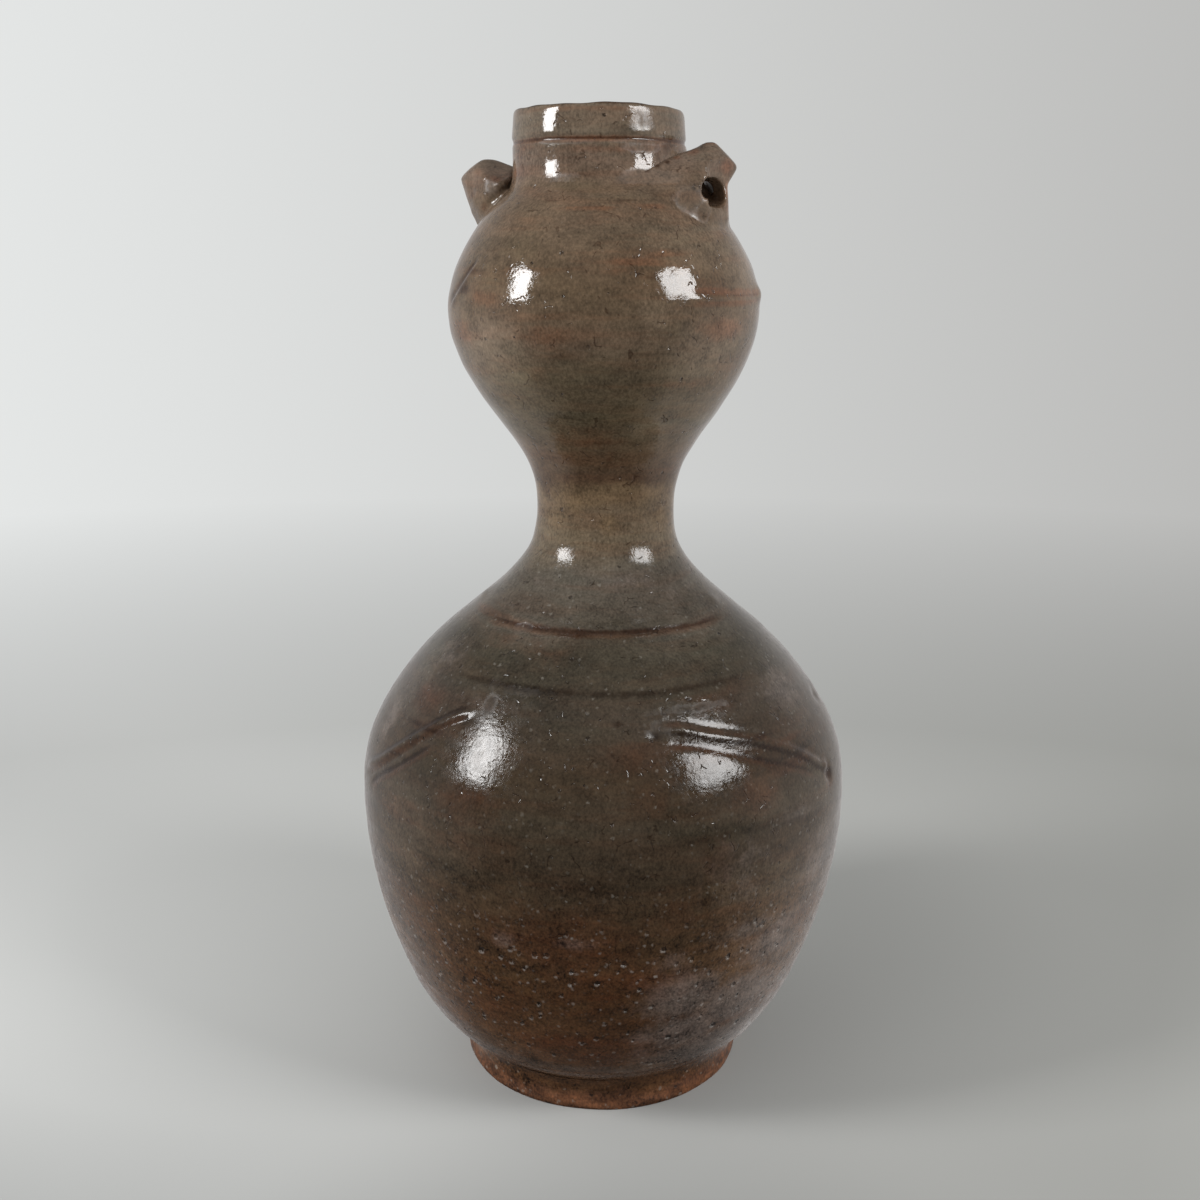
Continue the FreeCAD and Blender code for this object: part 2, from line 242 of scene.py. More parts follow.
def floorMaterial():
    material, tree = newMaterial("paleTable")
    place = put(tree, "ShaderNodeTexCoord").outputs["Object"]
    fromCamera = vectorMath(tree, "ADD", place, -heading(0) * camera["distance"])
    share = sideShare(tree, fromCamera)
    # painted light across the table, lighter on the left
    colour = blend(tree, share, room["tableLitLeft"], room["tableShadedRight"])
    # The pot's shadows are painted into the table's colour.
    for turn, out, reach, left in room["paintedShadows"]:
        fromShadow = vectorMath(tree, "LENGTH", vectorMath(tree, "ADD", place, -heading(turn) * out))
        kept = ramp(tree, fromShadow, room["shadowCore"] * reach, reach, left, 1.0)
        colour = vectorMath(tree, "SCALE", colour, scale=kept)
    table = put(tree, "ShaderNodeBsdfDiffuse", {"Color": colour, "Roughness": 0.4})
    # the far table glows with the backdrop's colour, whose painted light is lighter on the left
    backdrop = blend(tree, share, room["backdropLitLeft"], room["backdropShadedRight"])
    backdropGlow = put(tree, "ShaderNodeEmission", {"Color": backdrop, "Strength": 1.0})
    nearness = math2(tree, "DIVIDE", 1.0, vectorMath(tree, "LENGTH", fromCamera))
    fade = ramp(tree, nearness, 1 / room["sweepNear"], 1 / room["sweepFar"], shape="LINEAR")
    seen = put(tree, "ShaderNodeMixShader", {0: fade, 1: table.outputs[0], 2: backdropGlow.outputs[0]})
    mirrored = put(tree, "ShaderNodeEmission", {"Color": mirroredRoom(tree, place), "Strength": 1.0})
    glossy = put(tree, "ShaderNodeLightPath").outputs["Is Glossy Ray"]
    mixed = put(tree, "ShaderNodeMixShader", {0: glossy, 1: seen.outputs[0], 2: mirrored.outputs[0]})
    put(tree, "ShaderNodeOutputMaterial", {"Surface": mixed.outputs[0]})
    return material


def makeFloor():
    shape = bmesh.new()
    bmesh.ops.create_circle(shape, cap_ends=True, segments=96, radius=room["tableRadius"])
    item = meshItem("table", shape)
    item.data.materials.append(floorMaterial())


# The thrown outline, read from the frame

def rayTree(node):
    shape = bmesh.new()
    shape.from_mesh(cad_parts[node].data)
    tree = BVHTree.FromBMesh(shape)
    shape.free()
    return tree


def radiusAt(tree, height):
    far = 0.3
    hit = tree.ray_cast(Vector((0, -far, height)), Vector((0, 1, 0)))
    return -hit[0].y


class Curve:                    # a natural cubic curve through stations
    def __init__(self, xs, ys):
        self.xs, self.ys = np.array(xs), np.array(ys)
        steps, rises = np.diff(self.xs), np.diff(self.ys)
        size = len(self.xs)
        table, wanted = np.eye(size), np.zeros(size)
        for i in range(1, size - 1):
            table[i, i - 1:i + 2] = steps[i - 1], 2 * (steps[i - 1] + steps[i]), steps[i]
            wanted[i] = 6 * (rises[i] / steps[i] - rises[i - 1] / steps[i - 1])
        self.bends = np.linalg.solve(table, wanted)

    def __call__(self, x):
        i = np.clip(np.searchsorted(self.xs, x) - 1, 0, len(self.xs) - 2)
        step = self.xs[i + 1] - self.xs[i]
        a, b = (self.xs[i + 1] - x) / step, (x - self.xs[i]) / step
        bend = ((a ** 3 - a) * self.bends[i] + (b ** 3 - b) * self.bends[i + 1]) * step ** 2 / 6
        return a * self.ys[i] + b * self.ys[i + 1] + bend


def drawnCurves(points):        # one curve for each coordinate of some points, over 0, 1, 2 and so on
    stations = np.arange(len(points))
    return [Curve(stations, column) for column in zip(*points)]


outline = {                     # all in mm
    "lowerStations": [10.02, 13, 18, 24, 32, 42, 54, 68, 82, 92, 102, 111, 119, 131, 143, 150, 156, 161],
    "upperStations": [166.1, 171, 176, 182, 188, 195, 203, 211, 219, 227, 234, 240, 246, 251.4],
    "driftStations": [0, 15, 50, 82, 110, 140, 166, 190, 200, 219, 240, 252, 256, 270],
    "drift": [-0.45, -0.45, -0.27, -0.1, 0, 0, 0.58, 0.3, 0, -0.1, 0.0, -0.8, -1.15, -1.4],
}


def readOutline():
    heights, radii = [], []
    for node, stations in (("lower_bulb", "lowerStations"), ("upper_bulb", "upperStations")):
        tree = rayTree(node)
        for height in outline[stations]:
            heights.append(height * mm)
            radii.append(radiusAt(tree, height * mm))
    return Curve(heights, radii)


potCurve = readOutline()
driftCurve = Curve([z * mm for z in outline["driftStations"]], [x * mm for x in outline["drift"]])
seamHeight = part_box("lower_bulb")[1].z
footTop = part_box("foot_ring")[1].z
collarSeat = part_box("upper_bulb")[1].z
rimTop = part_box("mouth_collar")[1].z
print("outline read:", len(potCurve.xs), "stations")


def slopeAt(z):
    step = 0.2 * mm
    return (potCurve(z + step) - potCurve(z - step)) / (2 * step)


def leaning(z):                 # how much longer a step up the outline is than its height
    return np.sqrt(1 + slopeAt(z) ** 2)


arcHeights = np.linspace(footTop, collarSeat, 3000)
arcLengths = np.concatenate([[0], np.cumsum(np.hypot(np.diff(potCurve(arcHeights)), np.diff(arcHeights)))])


def arcAt(z):                   # distance up the outline, and on up the collar
    return np.interp(z, arcHeights, arcLengths) + np.maximum(z - collarSeat, 0)


def ringHeights(low, high, spacing):        # heights whose distance along the outline follows spacing(z)
    z = np.linspace(low, high, 4000)
    pace = leaning(z) / spacing(z)
    count = np.concatenate([[0], np.cumsum((pace[1:] + pace[:-1]) / 2 * np.diff(z))])
    return np.interp(np.linspace(0, count[-1], int(round(count[-1])) + 1), count, z)


# Marks in the clay. Paths are (degrees round the pot, height in mm); the other lengths are in mm.
# A mark is cut in by its depth, and the clay beside it is banked up at bankAt above the path.
# A stain is (colour, distance above the path, width, strength). The dark ones are painted shade in the cuts
# and beside the ridges, whose relief is kept shallow.

markReach = 9              # mm above and below a path that its mark may change
stainReach = 5
stainFade = 0.15           # share of the path over which a stain's ends fade
marks = {
    "shoulderGroove": {
        "path": [
            (-66, 138.2), (-45, 137.7), (-20, 137.8), (0, 137.6), (25, 137.8), (48, 137.6),
            (66, 138.4),
        ],
        "depth": 0.34, "width": 0.85, "bank": 0.16, "bankAt": 2.3, "bankWidth": 1.1, "fade": 0.16,
        "stainsAndShade": [("dark", 0.2, 1.0, 0.8), ("rust", -0.5, 1.5, 0.9)],
    },
    "lowGroove": {
        "path": [(-58, 125.2), (-36, 125.7), (-10, 125.4), (12, 125.3), (34, 125.7), (55, 125.4)],
        "depth": 0.12, "width": 1.0, "bank": 0.1, "bankAt": -2.4, "bankWidth": 1.2, "fade": 0.2,
        "stainsAndShade": [("dark", 0.0, 1.5, 0.6)],
    },
    "leftRidge": {
        "path": [(-36, 119.6), (-43, 116.6), (-50, 111.8), (-58, 105.4), (-66, 99.2), (-75, 94.6)],
        "depth": -0.6, "width": 1.0, "bank": -0.34, "bankAt": 2.3, "bankWidth": 0.8, "fade": 0.12,
        "stainsAndShade": [("dark", -1.4, 0.9, 0.9), ("rust", 1.3, 1.2, 0.9)],
    },
    "leftCut": {
        "path": [(-45, 110.2), (-50.1, 106.0), (-57, 100.6), (-63, 96.5), (-69.7, 90.5)],
        "depth": 0.38, "width": 0.9, "bank": 0.0, "bankAt": 2.0, "bankWidth": 1.0, "fade": 0.2,
        "stainsAndShade": [("dark", 0.0, 0.9, 0.8), ("rust", 1.2, 1.2, 0.8)],
    },
    "rightRidge": {
        "path": [
            (12, 117.6), (19, 117.6), (27, 115.6), (36, 113.2), (44, 110.5), (53.4, 105.8),
            (61.5, 99.9), (67, 96.4),
        ],
        "depth": -0.42, "width": 1.05, "bank": -0.3, "bankAt": 2.0, "bankWidth": 0.7, "fade": 0.12,
        "stainsAndShade": [("dark", -1.3, 0.8, 0.9), ("rust", 1.0, 1.0, 0.6)],
    },
    "rightCut": {
        "path": [(14, 114.8), (22.1, 113.8), (32.2, 110.8), (40.8, 106.9), (51.2, 102.5), (61.2, 96.4)],
        "depth": 0.3, "width": 1.3, "bank": 0.0, "bankAt": 2.0, "bankWidth": 1.0, "fade": 0.12,
        "stainsAndShade": [("dark", 0.2, 0.8, 0.7), ("rust", -0.8, 1.2, 0.8)],
    },
    "sweep": {
        "path": [(14, 91.0), (24, 92.2), (36, 91.6), (50, 89.6), (66, 88.6)],
        "depth": 0.16, "width": 1.4, "bank": 0.1, "bankAt": 2.6, "bankWidth": 1.6, "fade": 0.3,
        "stainsAndShade": [("dark", 0.0, 1.6, 0.45)],
    },
    "upperRightLine": {
        "path": [(28, 224.8), (45, 224.2), (62, 223.8), (80, 223.6)],
        "depth": 0.25, "width": 0.8, "bank": 0.3, "bankAt": -1.8, "bankWidth": 1.3, "fade": 0.25,
        "stainsAndShade": [("rust", 0.3, 1.0, 1.0), ("dark", -0.4, 0.5, 0.5)],
    },
    "upperLeftLine": {
        "path": [(-56, 232.6), (-60, 229.6), (-66, 225.2), (-76, 220.4)],
        "depth": 0.3, "width": 0.7, "bank": 0.2, "bankAt": 1.7, "bankWidth": 1.0, "fade": 0.2,
        "stainsAndShade": [("dark", 0.0, 0.8, 1.0)],
    },
    "heelTurn": {
        "path": [(-180, 16.0), (-90, 15.6), (0, 16.1), (90, 15.6), (180, 16.0)],
        "depth": 0.16, "width": 0.9, "bank": 0.12, "bankAt": 1.9, "bankWidth": 0.9, "fade": 0.0,
        "stainsAndShade": [("blue", 1.0, 1.6, 0.5)],
    },
}
# Dents and lumps: degrees round, height, width and height across, and how far out, all in mm.
lumps = [
    (78, 223.4, 5.0, 2.4, 0.9), (82, 112.5, 3.0, 1.6, -0.5), (3.7, 119.2, 1.6, 1.2, -0.55),
    (13.0, 116.3, 1.7, 1.3, -0.6), (64.5, 96.8, 1.6, 2.4, -0.9), (63.0, 99.6, 1.5, 1.2, 0.5),
    (-36, 137.3, 0.9, 1.6, -0.4), (21.6, 80.5, 0.7, 9.0, -0.28), (23.0, 80.0, 0.9, 9.5, 0.2),
    (-84, 220, 14.0, 14.0, 0.3), (40, 205, 16.0, 8.0, 0.3), (-20, 60, 30.0, 12.0, -0.25),
    (55, 52, 20.0, 14.0, 0.3), (-70, 48, 18.0, 10.0, 0.25), (-88, 140, 4.0, 2.0, 0.4),
    (150, 100, 26.0, 14.0, -0.35), (-140, 74, 30.0, 16.0, 0.3), (120, 210, 14.0, 8.0, -0.3),
    (68, 141, 3.0, 2.0, 0.35), (42, 249.0, 9.0, 4.5, 0.6), (-138, 249.0, 9.0, 4.5, 0.6),
]
# The throwing: waves are (mm out, times round, phase, radians for each mm of height).
thrown = {
    "waves": [(0.20, 2, 1.1, 1 / 37), (0.13, 3, -0.6, -1 / 23), (0.07, 5, 0, 1 / 11), (0.05, 7, 2, -1 / 6)],
    "swells": [(0.3, 212, 32), (0.35, 189, 9)],     # mm out, height and reach
    "ringDepth": 0.055,
    "ringPitch": 1.45,          # mm of height for each radian of the throwing rings
    "footEdge": (9.5, 13),      # heights between which the relief grows above the foot
    "collarEdge": (248.5, 251.5),       # and shrinks below the collar,
    "collarLoss": 0.7,          # by this share
    "skin": (0.6 * mm, 2.2 * mm),       # depths in the wall with the whole relief and with none
}


def smooth(x, low, high):
    t = np.clip((x - low) / (high - low), 0, 1)
    return t * t * (3 - 2 * t)


def bell(x, width):
    return np.exp(-(x / width) ** 2)


def wavesAt(waves, side, height):
    return sum(deep * np.sin(count * side + phase + height * climb) for deep, count, phase, climb in waves)


def wrap(degrees):
    return (degrees + 180) % 360 - 180


def polar(points):              # degrees round the pot, height and radius of each point
    side = np.degrees(np.arctan2(points[:, 0], -points[:, 1])) - camera["turn"]
    return wrap(side), points[:, 2], np.hypot(points[:, 0], points[:, 1])


def offsetFrom(path, turn, z):  # signed distance above a drawn line, and the share of the way along it
    stretches = 8 * (len(path) - 1)
    fine = np.linspace(0, len(path) - 1, stretches + 1)
    turns, heights = (curve(fine) for curve in drawnCurves(path))
    arcs = arcAt(heights * mm)
    radius, arc = potCurve(z), arcAt(z)
    best, share = np.full_like(turn, 1.0), np.zeros_like(turn)
    for i in range(stretches):
        across = np.radians(wrap(turns[i + 1] - turns[i])) * radius
        up = arcs[i + 1] - arcs[i]
        dx, dy = np.radians(wrap(turn - turns[i])) * radius, arc - arcs[i]
        t = np.clip((dx * across + dy * up) / (across ** 2 + up ** 2), 0, 1)
        away = np.hypot(dx - t * across, dy - t * up) * np.sign(across * dy - up * dx + 1e-12)
        closer = np.abs(away) < np.abs(best)
        best = np.where(closer, away, best)
        share = np.where(closer, (i + t) / stretches, share)
    return best / mm, share


def nearPath(path, z, reach):
    heights = [height for turn, height in path]
    return (z > (min(heights) - reach) * mm) & (z < (max(heights) + reach) * mm)


def fadedEnds(share, fade):
    return smooth(share, 0, fade) * smooth(1 - share, 0, fade) if fade else 1.0


def spotFall(turn, arc, radius, spot):      # 1 in the middle of a spot on the outside, 0 away from it
    spotTurn, height, wide, tall = spot
    across = np.radians(wrap(turn - spotTurn)) * radius / mm
    up = (arc - arcAt(height * mm)) / mm
    return np.exp(-(across / wide) ** 2 - (up / tall) ** 2)


def potRelief(turn, z):         # how far the outside stands from the turned outline, in metres
    height, side = z / mm, np.radians(turn)
    rings = np.sin(height / thrown["ringPitch"] + 1.5 * np.sin(side + height / 29))
    rings *= 0.5 + 0.5 * np.sin(height / 9.7 + side)        # the rings come and go
    out = wavesAt(thrown["waves"], side, height) + thrown["ringDepth"] * rings
    for rise, middle, reach in thrown["swells"]:
        out += rise * bell(height - middle, reach)
    for mark in marks.values():
        near = nearPath(mark["path"], z, markReach)
        if near.any():
            away, share = offsetFrom(mark["path"], turn[near], z[near])
            cut = mark["depth"] * bell(away, mark["width"])
            bank = mark["bank"] * bell(away - mark["bankAt"], mark["bankWidth"])
            out[near] += fadedEnds(share, mark["fade"]) * (bank - cut)
    arc, radius = arcAt(z), potCurve(z)
    for *spot, rise in lumps:
        out += rise * spotFall(turn, arc, radius, spot)
    hold = smooth(height, *thrown["footEdge"])
    hold *= 1 - thrown["collarLoss"] * smooth(height, *thrown["collarEdge"])
    return out * hold * mm


def readPoints(mesh):
    points = np.empty(len(mesh.vertices) * 3)
    mesh.vertices.foreach_get("co", points)
    return points.reshape(-1, 3)


def writePoints(mesh, points):
    mesh.vertices.foreach_set("co", points.astype(np.float32).ravel())
    mesh.update()


def outwardFrom(points, radius):
    return points[:, :2] / np.maximum(radius, 1e-6)[:, None]


def drift(points, z):           # moves points sideways as the thrown pot leans
    right = heading(90)
    points[:, :2] += np.array([right.x, right.y]) * driftCurve(z)[:, None]


def handThrown(points):         # gives turned points the pot's drift and its marks
    turn, z, radius = polar(points)
    slope, long = slopeAt(z), leaning(z)
    inside = (potCurve(z) - radius) / long
    push = potRelief(turn, z) * (1 - smooth(inside, *thrown["skin"]))
    moved = points.copy()
    moved[:, :2] += outwardFrom(points, radius) * (push / long)[:, None]
    moved[:, 2] -= push * slope / long
    drift(moved, z)
    return moved


# Shapes

sharpFrom = math.radians(48)


def spunShape(section, steps):  # turns a section round the axis: an eighth is spun, then doubled three times
    shape = bmesh.new()
    points = [shape.verts.new((r, 0, z)) for r, z in section]
    edges = [shape.edges.new(pair) for pair in zip(points, points[1:])]
    turn = math.pi / 4
    bmesh.ops.spin(shape, geom=points + edges, cent=(0, 0, 0), axis=(0, 0, 1), angle=turn, steps=steps // 8)
    for doubling in range(3):
        copies = bmesh.ops.duplicate(shape, geom=shape.verts[:] + shape.edges[:] + shape.faces[:])["geom"]
        moved = [part for part in copies if isinstance(part, bmesh.types.BMVert)]
        bmesh.ops.rotate(shape, verts=moved, cent=(0, 0, 0), matrix=Matrix.Rotation(turn, 3, "Z"))
        turn *= 2
    bmesh.ops.remove_doubles(shape, verts=shape.verts, dist=0.5e-6)
    bmesh.ops.recalc_face_normals(shape, faces=shape.faces)
    return shape


def drawnSection(points):       # (radius, height) along a smooth line through a few points, given in mm
    fine = np.linspace(0, len(points) - 1, 4 * (len(points) - 1) + 1)
    radii, heights = (curve(fine) * mm for curve in drawnCurves(points))
    return list(zip(radii, heights))


def meshPiece(name, shape, node, material):
    item = meshItem(name, shape)
    item.data.shade_smooth()
    item.data.set_sharp_from_angle(angle=sharpFrom)
    item.data.materials.append(material)
    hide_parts(node)
    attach(item, "root")
    return item


def report(item):
    print("made", item.name, "with", len(item.data.polygons), "faces")


# Colours on the glaze, painted into the meshes: degrees round, height, half width and half height
# in mm, strength.

patches = {
    "rust": [
        (-60, 138.6, 12, 1.6, 1.0), (-30, 138.0, 22, 1.3, 0.7), (20, 137.2, 40, 1.1, 0.55),
        (-20, 132.6, 11, 5, 0.5), (-44, 134.6, 9, 3.5, 0.5), (-56, 117.6, 9, 5, 0.8),
        (-48, 113.2, 12, 2.5, 0.6), (33, 121.5, 11, 4.5, 0.6), (7, 112.0, 9, 5, 0.65),
        (36, 100.5, 9, 6.5, 0.75), (10, 101.8, 9, 4, 0.55), (48, 103.8, 16, 2.0, 0.85),
        (34, 110.0, 14, 1.6, 0.7), (50, 109.8, 14, 1.2, 0.7), (-30, 89, 24, 7, 0.4),
        (-50, 92, 20, 5, 0.45), (-32, 99, 12, 6, 0.75), (25, 86, 8, 8, 0.5), (24, 92, 10, 5, 0.4),
        (-10, 66, 24, 12, 0.75), (2, 52, 26, 12, 0.6), (-26, 44, 18, 10, 0.45),
        (-45, 66, 14, 10, 0.35), (16, 74, 12, 7, 0.5), (-4, 30, 30, 10, 0.5), (64, 97, 3, 5, 0.9),
        (-6, 244.6, 9, 0.8, 0.8), (22, 245.1, 7, 1.0, 0.7), (-47, 222.8, 7, 2.2, 0.75),
        (4, 229.5, 8, 1.0, 0.4), (14, 231.8, 10, 1.3, 0.75), (24, 233.6, 8, 1.3, 0.6),
        (52, 221.6, 17, 0.9, 0.95), (46, 215.4, 10, 3.2, 0.8), (-62, 214, 8, 4.5, 0.6),
        (-21, 213.6, 9, 4, 0.5), (-26, 203.6, 4, 4, 0.4), (30, 201.6, 15, 1.5, 0.45),
        (-10, 187.5, 12, 4.0, 0.6), (8, 182.5, 14, 2.5, 0.35), (40, 226.5, 10, 5, 0.35),
        (62, 206, 14, 6, 0.35), (0, 259.2, 26, 1.3, 0.5), (35, 260.3, 16, 1.1, 0.6),
        (-58, 260.0, 9, 1.3, 0.6), (2, 268.9, 60, 0.9, 0.45), (0, 261.6, 90, 0.9, 0.9),
        (-70, 255, 5, 6, 0.4), (130, 222, 22, 5, 0.7), (-150, 210, 20, 6, 0.6), (160, 240, 18, 3, 0.6),
        (120, 120, 26, 8, 0.6), (-160, 105, 30, 8, 0.6), (170, 66, 34, 12, 0.7),
        (-120, 50, 26, 12, 0.6), (95, 60, 22, 9, 0.5),
    ],
    "olive": [
        (-19, 250.5, 8, 2.2, 0.9), (8, 247.0, 12, 2.4, 0.6), (-8, 205, 14, 6, 0.6),
        (0, 193.6, 12, 4.5, 0.6), (-34, 236, 10, 6, 0.5), (-46, 228, 7, 6, 0.5),
        (-33, 205, 10, 9, 0.5), (28, 238, 14, 7, 0.5), (24, 210, 10, 10, 0.5), (2, 240.0, 14, 3, 0.4),
        (-10, 119, 22, 7, 0.7), (-8, 106, 24, 10, 0.35), (-44, 104, 10, 6, 0.6),
        (26, 92.5, 20, 4, 0.8), (-12, 94, 20, 7, 0.5), (40, 132, 14, 6, 0.4), (44, 78, 12, 8, 0.4),
        (-60, 80, 14, 10, 0.3), (-100, 235, 14, 8, 0.6), (150, 90, 26, 9, 0.6),
        (-140, 130, 22, 7, 0.6), (180, 200, 16, 8, 0.6),
    ],
    "blue": [
        (-22, 64, 3.5, 3.5, 0.55), (-6, 65.2, 7, 2.2, 0.55), (34, 63.5, 13, 3.5, 0.55),
        (20, 46, 13, 9, 0.9), (36, 40, 15, 10, 1.0), (22, 33, 12, 8, 1.0), (12, 33, 8, 5, 0.6),
        (15, 58, 7, 6, 0.4), (31, 78, 9, 7, 0.35), (22, 24, 10, 6, 0.7), (44, 56, 14, 9, 0.7),
        (36, 24, 24, 9, 1.0), (-34, 20, 12, 5, 0.55), (0, 19, 34, 3.5, 0.45), (30, 85, 12, 7, 0.35),
        (58, 74, 12, 12, 0.5), (48, 92, 14, 4, 0.35), (-62, 128, 12, 7, 0.35),
        (-30, 147, 12, 3.5, 0.25), (12, 149, 14, 4, 0.3), (46, 146, 12, 4, 0.3), (-60, 70, 9, 10, 0.4),
        (-12, 14.8, 30, 2.6, 0.75), (34, 15.2, 22, 2.4, 0.7), (14, 27, 14, 4, 0.4),
        (-70, 110, 6, 8, 0.5), (60, 120, 10, 8, 0.5), (100, 80, 18, 12, 0.35),
        (-110, 90, 18, 12, 0.35), (150, 145, 20, 4, 0.4), (-150, 30, 26, 8, 0.5),
        (170, 15, 50, 3, 0.5),
    ],
    "ochre": [
        (-30, 170.5, 8, 5, 0.8), (2, 171.5, 16, 4.0, 0.9), (40, 170.0, 10, 5, 0.7),
        (5, 163.5, 4, 3.5, 0.7), (-46, 165, 5, 6, 0.6), (50, 165, 5, 5, 0.6), (0, 244, 20, 3, 0.25),
        (90, 170, 20, 5, 0.7), (180, 169, 30, 5, 0.8), (-100, 170, 20, 5, 0.7),
    ],
    # Lighter glaze. On the sides of the pot these strokes are painted sheen, standing in for the bright room
    # mirrored there.
    "light": [
        (-44, 209, 14, 11, 0.95), (38, 208, 13, 10, 0.75), (38, 52, 20, 16, 1.0),
        (36, 134, 18, 7, 1.0), (-36, 136, 17, 7, 0.9), (-70, 118, 9, 26, 0.7), (62, 112, 10, 16, 0.6),
        (40, 97, 14, 11, 0.45), (-38, 50, 12, 12, 0.3), (-50, 86, 15, 12, 1.0), (-33, 86, 10, 8, 0.8),
        (30, 78, 9, 8, 0.8), (-24, 24, 10, 5, 0.8), (60, 92, 10, 14, 0.8), (46, 72, 18, 14, 1.0),
        (-40, 18, 16, 7, 0.9), (50, 20, 14, 9, 1.0), (38, 236, 18, 8, 0.9), (62, 230, 12, 11, 0.9),
        (50, 214, 8, 8, 0.6), (18, 220, 7, 6, 0.7), (20, 190, 8, 4, 0.7), (150, 120, 30, 14, 0.5),
        (-150, 60, 26, 16, 0.5), (110, 216, 14, 9, 0.6), (-120, 206, 14, 9, 0.6),
        (-16, 221, 8, 6, 0.3), (12, 198, 7, 3, 0.35),
    ],
    "matte": [
        (-26.5, 124.8, 13, 1.6, 0.5), (24, 121.4, 14, 1.4, 0.6), (-33, 121, 2, 4, 0.7),
        (26, 266.5, 6, 4.5, 0.4), (26, 259.6, 6, 1.3, 0.9), (26, 253.2, 8, 1.4, 0.9),
        (-24, 251.5, 7, 1.2, 0.4), (-22, 252.6, 7, 1.6, 0.4), (26, 252.0, 9, 2.2, 0.9),
        (26, 261.0, 10, 0.7, 0.9), (-24, 261.0, 9, 0.7, 0.9), (-36, 137.3, 3, 2, 0.8),
        (14, 117.5, 5, 3, 0.5),
    ],
    # Darker glaze. The strokes along the marks on the shoulder and at the pits are painted shade in those
    # hollows.
    "dark": [
        (-54, 229.5, 6, 1.2, 0.7), (-62, 225.0, 5, 1.6, 0.8), (-24, 246.5, 5, 0.5, 0.5),
        (12, 246.6, 8, 0.5, 0.5), (18, 228.0, 9, 0.7, 0.5), (-6, 193.0, 11, 1.5, 0.35),
        (4, 186.0, 14, 1.2, 0.4), (20, 209.5, 12, 1.0, 0.3), (-20, 209.0, 8, 1.5, 0.35),
        (66, 137.0, 6, 1.0, 0.4), (-52, 112.6, 12, 0.9, 0.7), (-60, 104.0, 12, 0.8, 0.6),
        (40, 112.6, 14, 0.9, 0.6), (52, 106.2, 12, 0.9, 0.7), (-64, 226.5, 5, 3.0, 0.7),
        (-70, 222.8, 4, 3.0, 0.7), (5, 261.8, 60, 0.45, 0.85), (-70, 261.6, 22, 0.5, 0.6),
        (75, 261.8, 22, 0.6, 0.8), (180, 261.8, 60, 0.5, 0.7), (0, 270.2, 70, 0.5, 0.7),
        (180, 270.2, 70, 0.5, 0.7), (-8, 180.5, 26, 3.5, 0.3), (50, 166, 8, 4, 0.35),
        (-62, 256, 6, 6, 0.35), (-14, 137.2, 8, 1.5, 0.7), (65, 96.5, 2.4, 1.8, 1.0),
        (3.7, 119.2, 1.8, 1.3, 0.7), (13, 116.3, 1.8, 1.4, 0.7), (-20, 137.5, 20, 0.9, 0.75),
        (18, 137.4, 30, 0.8, 0.6), (0, 125.5, 40, 1.1, 0.5), (46, 260, 2.2, 2.6, 0.6),
        (38, 258.5, 1.2, 3.0, 0.5),
    ],
}
narrowest = 8 * mm         # nearer to the axis than this, strokes don't spread further round


def paintGlaze(item, spots=()):     # spots are (colour, place in mm, size in mm, strength)
    points = readPoints(item.data)
    turn, z, radius = polar(points)
    arc, reach = arcAt(z), np.maximum(radius, narrowest)
    for kind, strokes in patches.items():
        mask = np.zeros(len(turn))
        for *spot, strength in strokes:
            mask = np.maximum(mask, strength * spotFall(turn, arc, reach, spot))
        # the marks' dark stains are painted shade in their cuts
        for mark in marks.values():
            stainsAndShade = [stain[1:] for stain in mark["stainsAndShade"] if stain[0] == kind]
            near = nearPath(mark["path"], z, stainReach)
            if stainsAndShade and near.any():
                away, share = offsetFrom(mark["path"], turn[near], z[near])
                for above, width, strength in stainsAndShade:
                    stain = strength * fadedEnds(share, stainFade) * bell(away - above, width)
                    mask[near] = np.maximum(mask[near], stain)
        for spotKind, middle, size, strength in spots:
            if spotKind == kind:
                away = np.linalg.norm(points / mm - np.array(middle), axis=1)
                mask = np.maximum(mask, strength * bell(away, size))
        layer = item.data.attributes.new(kind, "FLOAT", "POINT")
        layer.data.foreach_set("value", mask.astype(np.float32))


# Shared node groups. Each takes a place on the object and some numbers.

def newGroup(name, output, **numbers):
    tree = bpy.data.node_groups.new(name, "ShaderNodeTree")
    tree.interface.new_socket("Vector", in_out="INPUT", socket_type="NodeSocketVector")
    for label, value in numbers.items():
        socket = tree.interface.new_socket(label, in_out="INPUT", socket_type="NodeSocketFloat")
        socket.default_value = value
    tree.interface.new_socket(output, in_out="OUTPUT", socket_type="NodeSocketFloat")
    return tree, put(tree, "NodeGroupInput").outputs, put(tree, "NodeGroupOutput").inputs[0]


def linearFade(tree, value, low, high):
    return ramp(tree, value, low, high, shape="LINEAR")


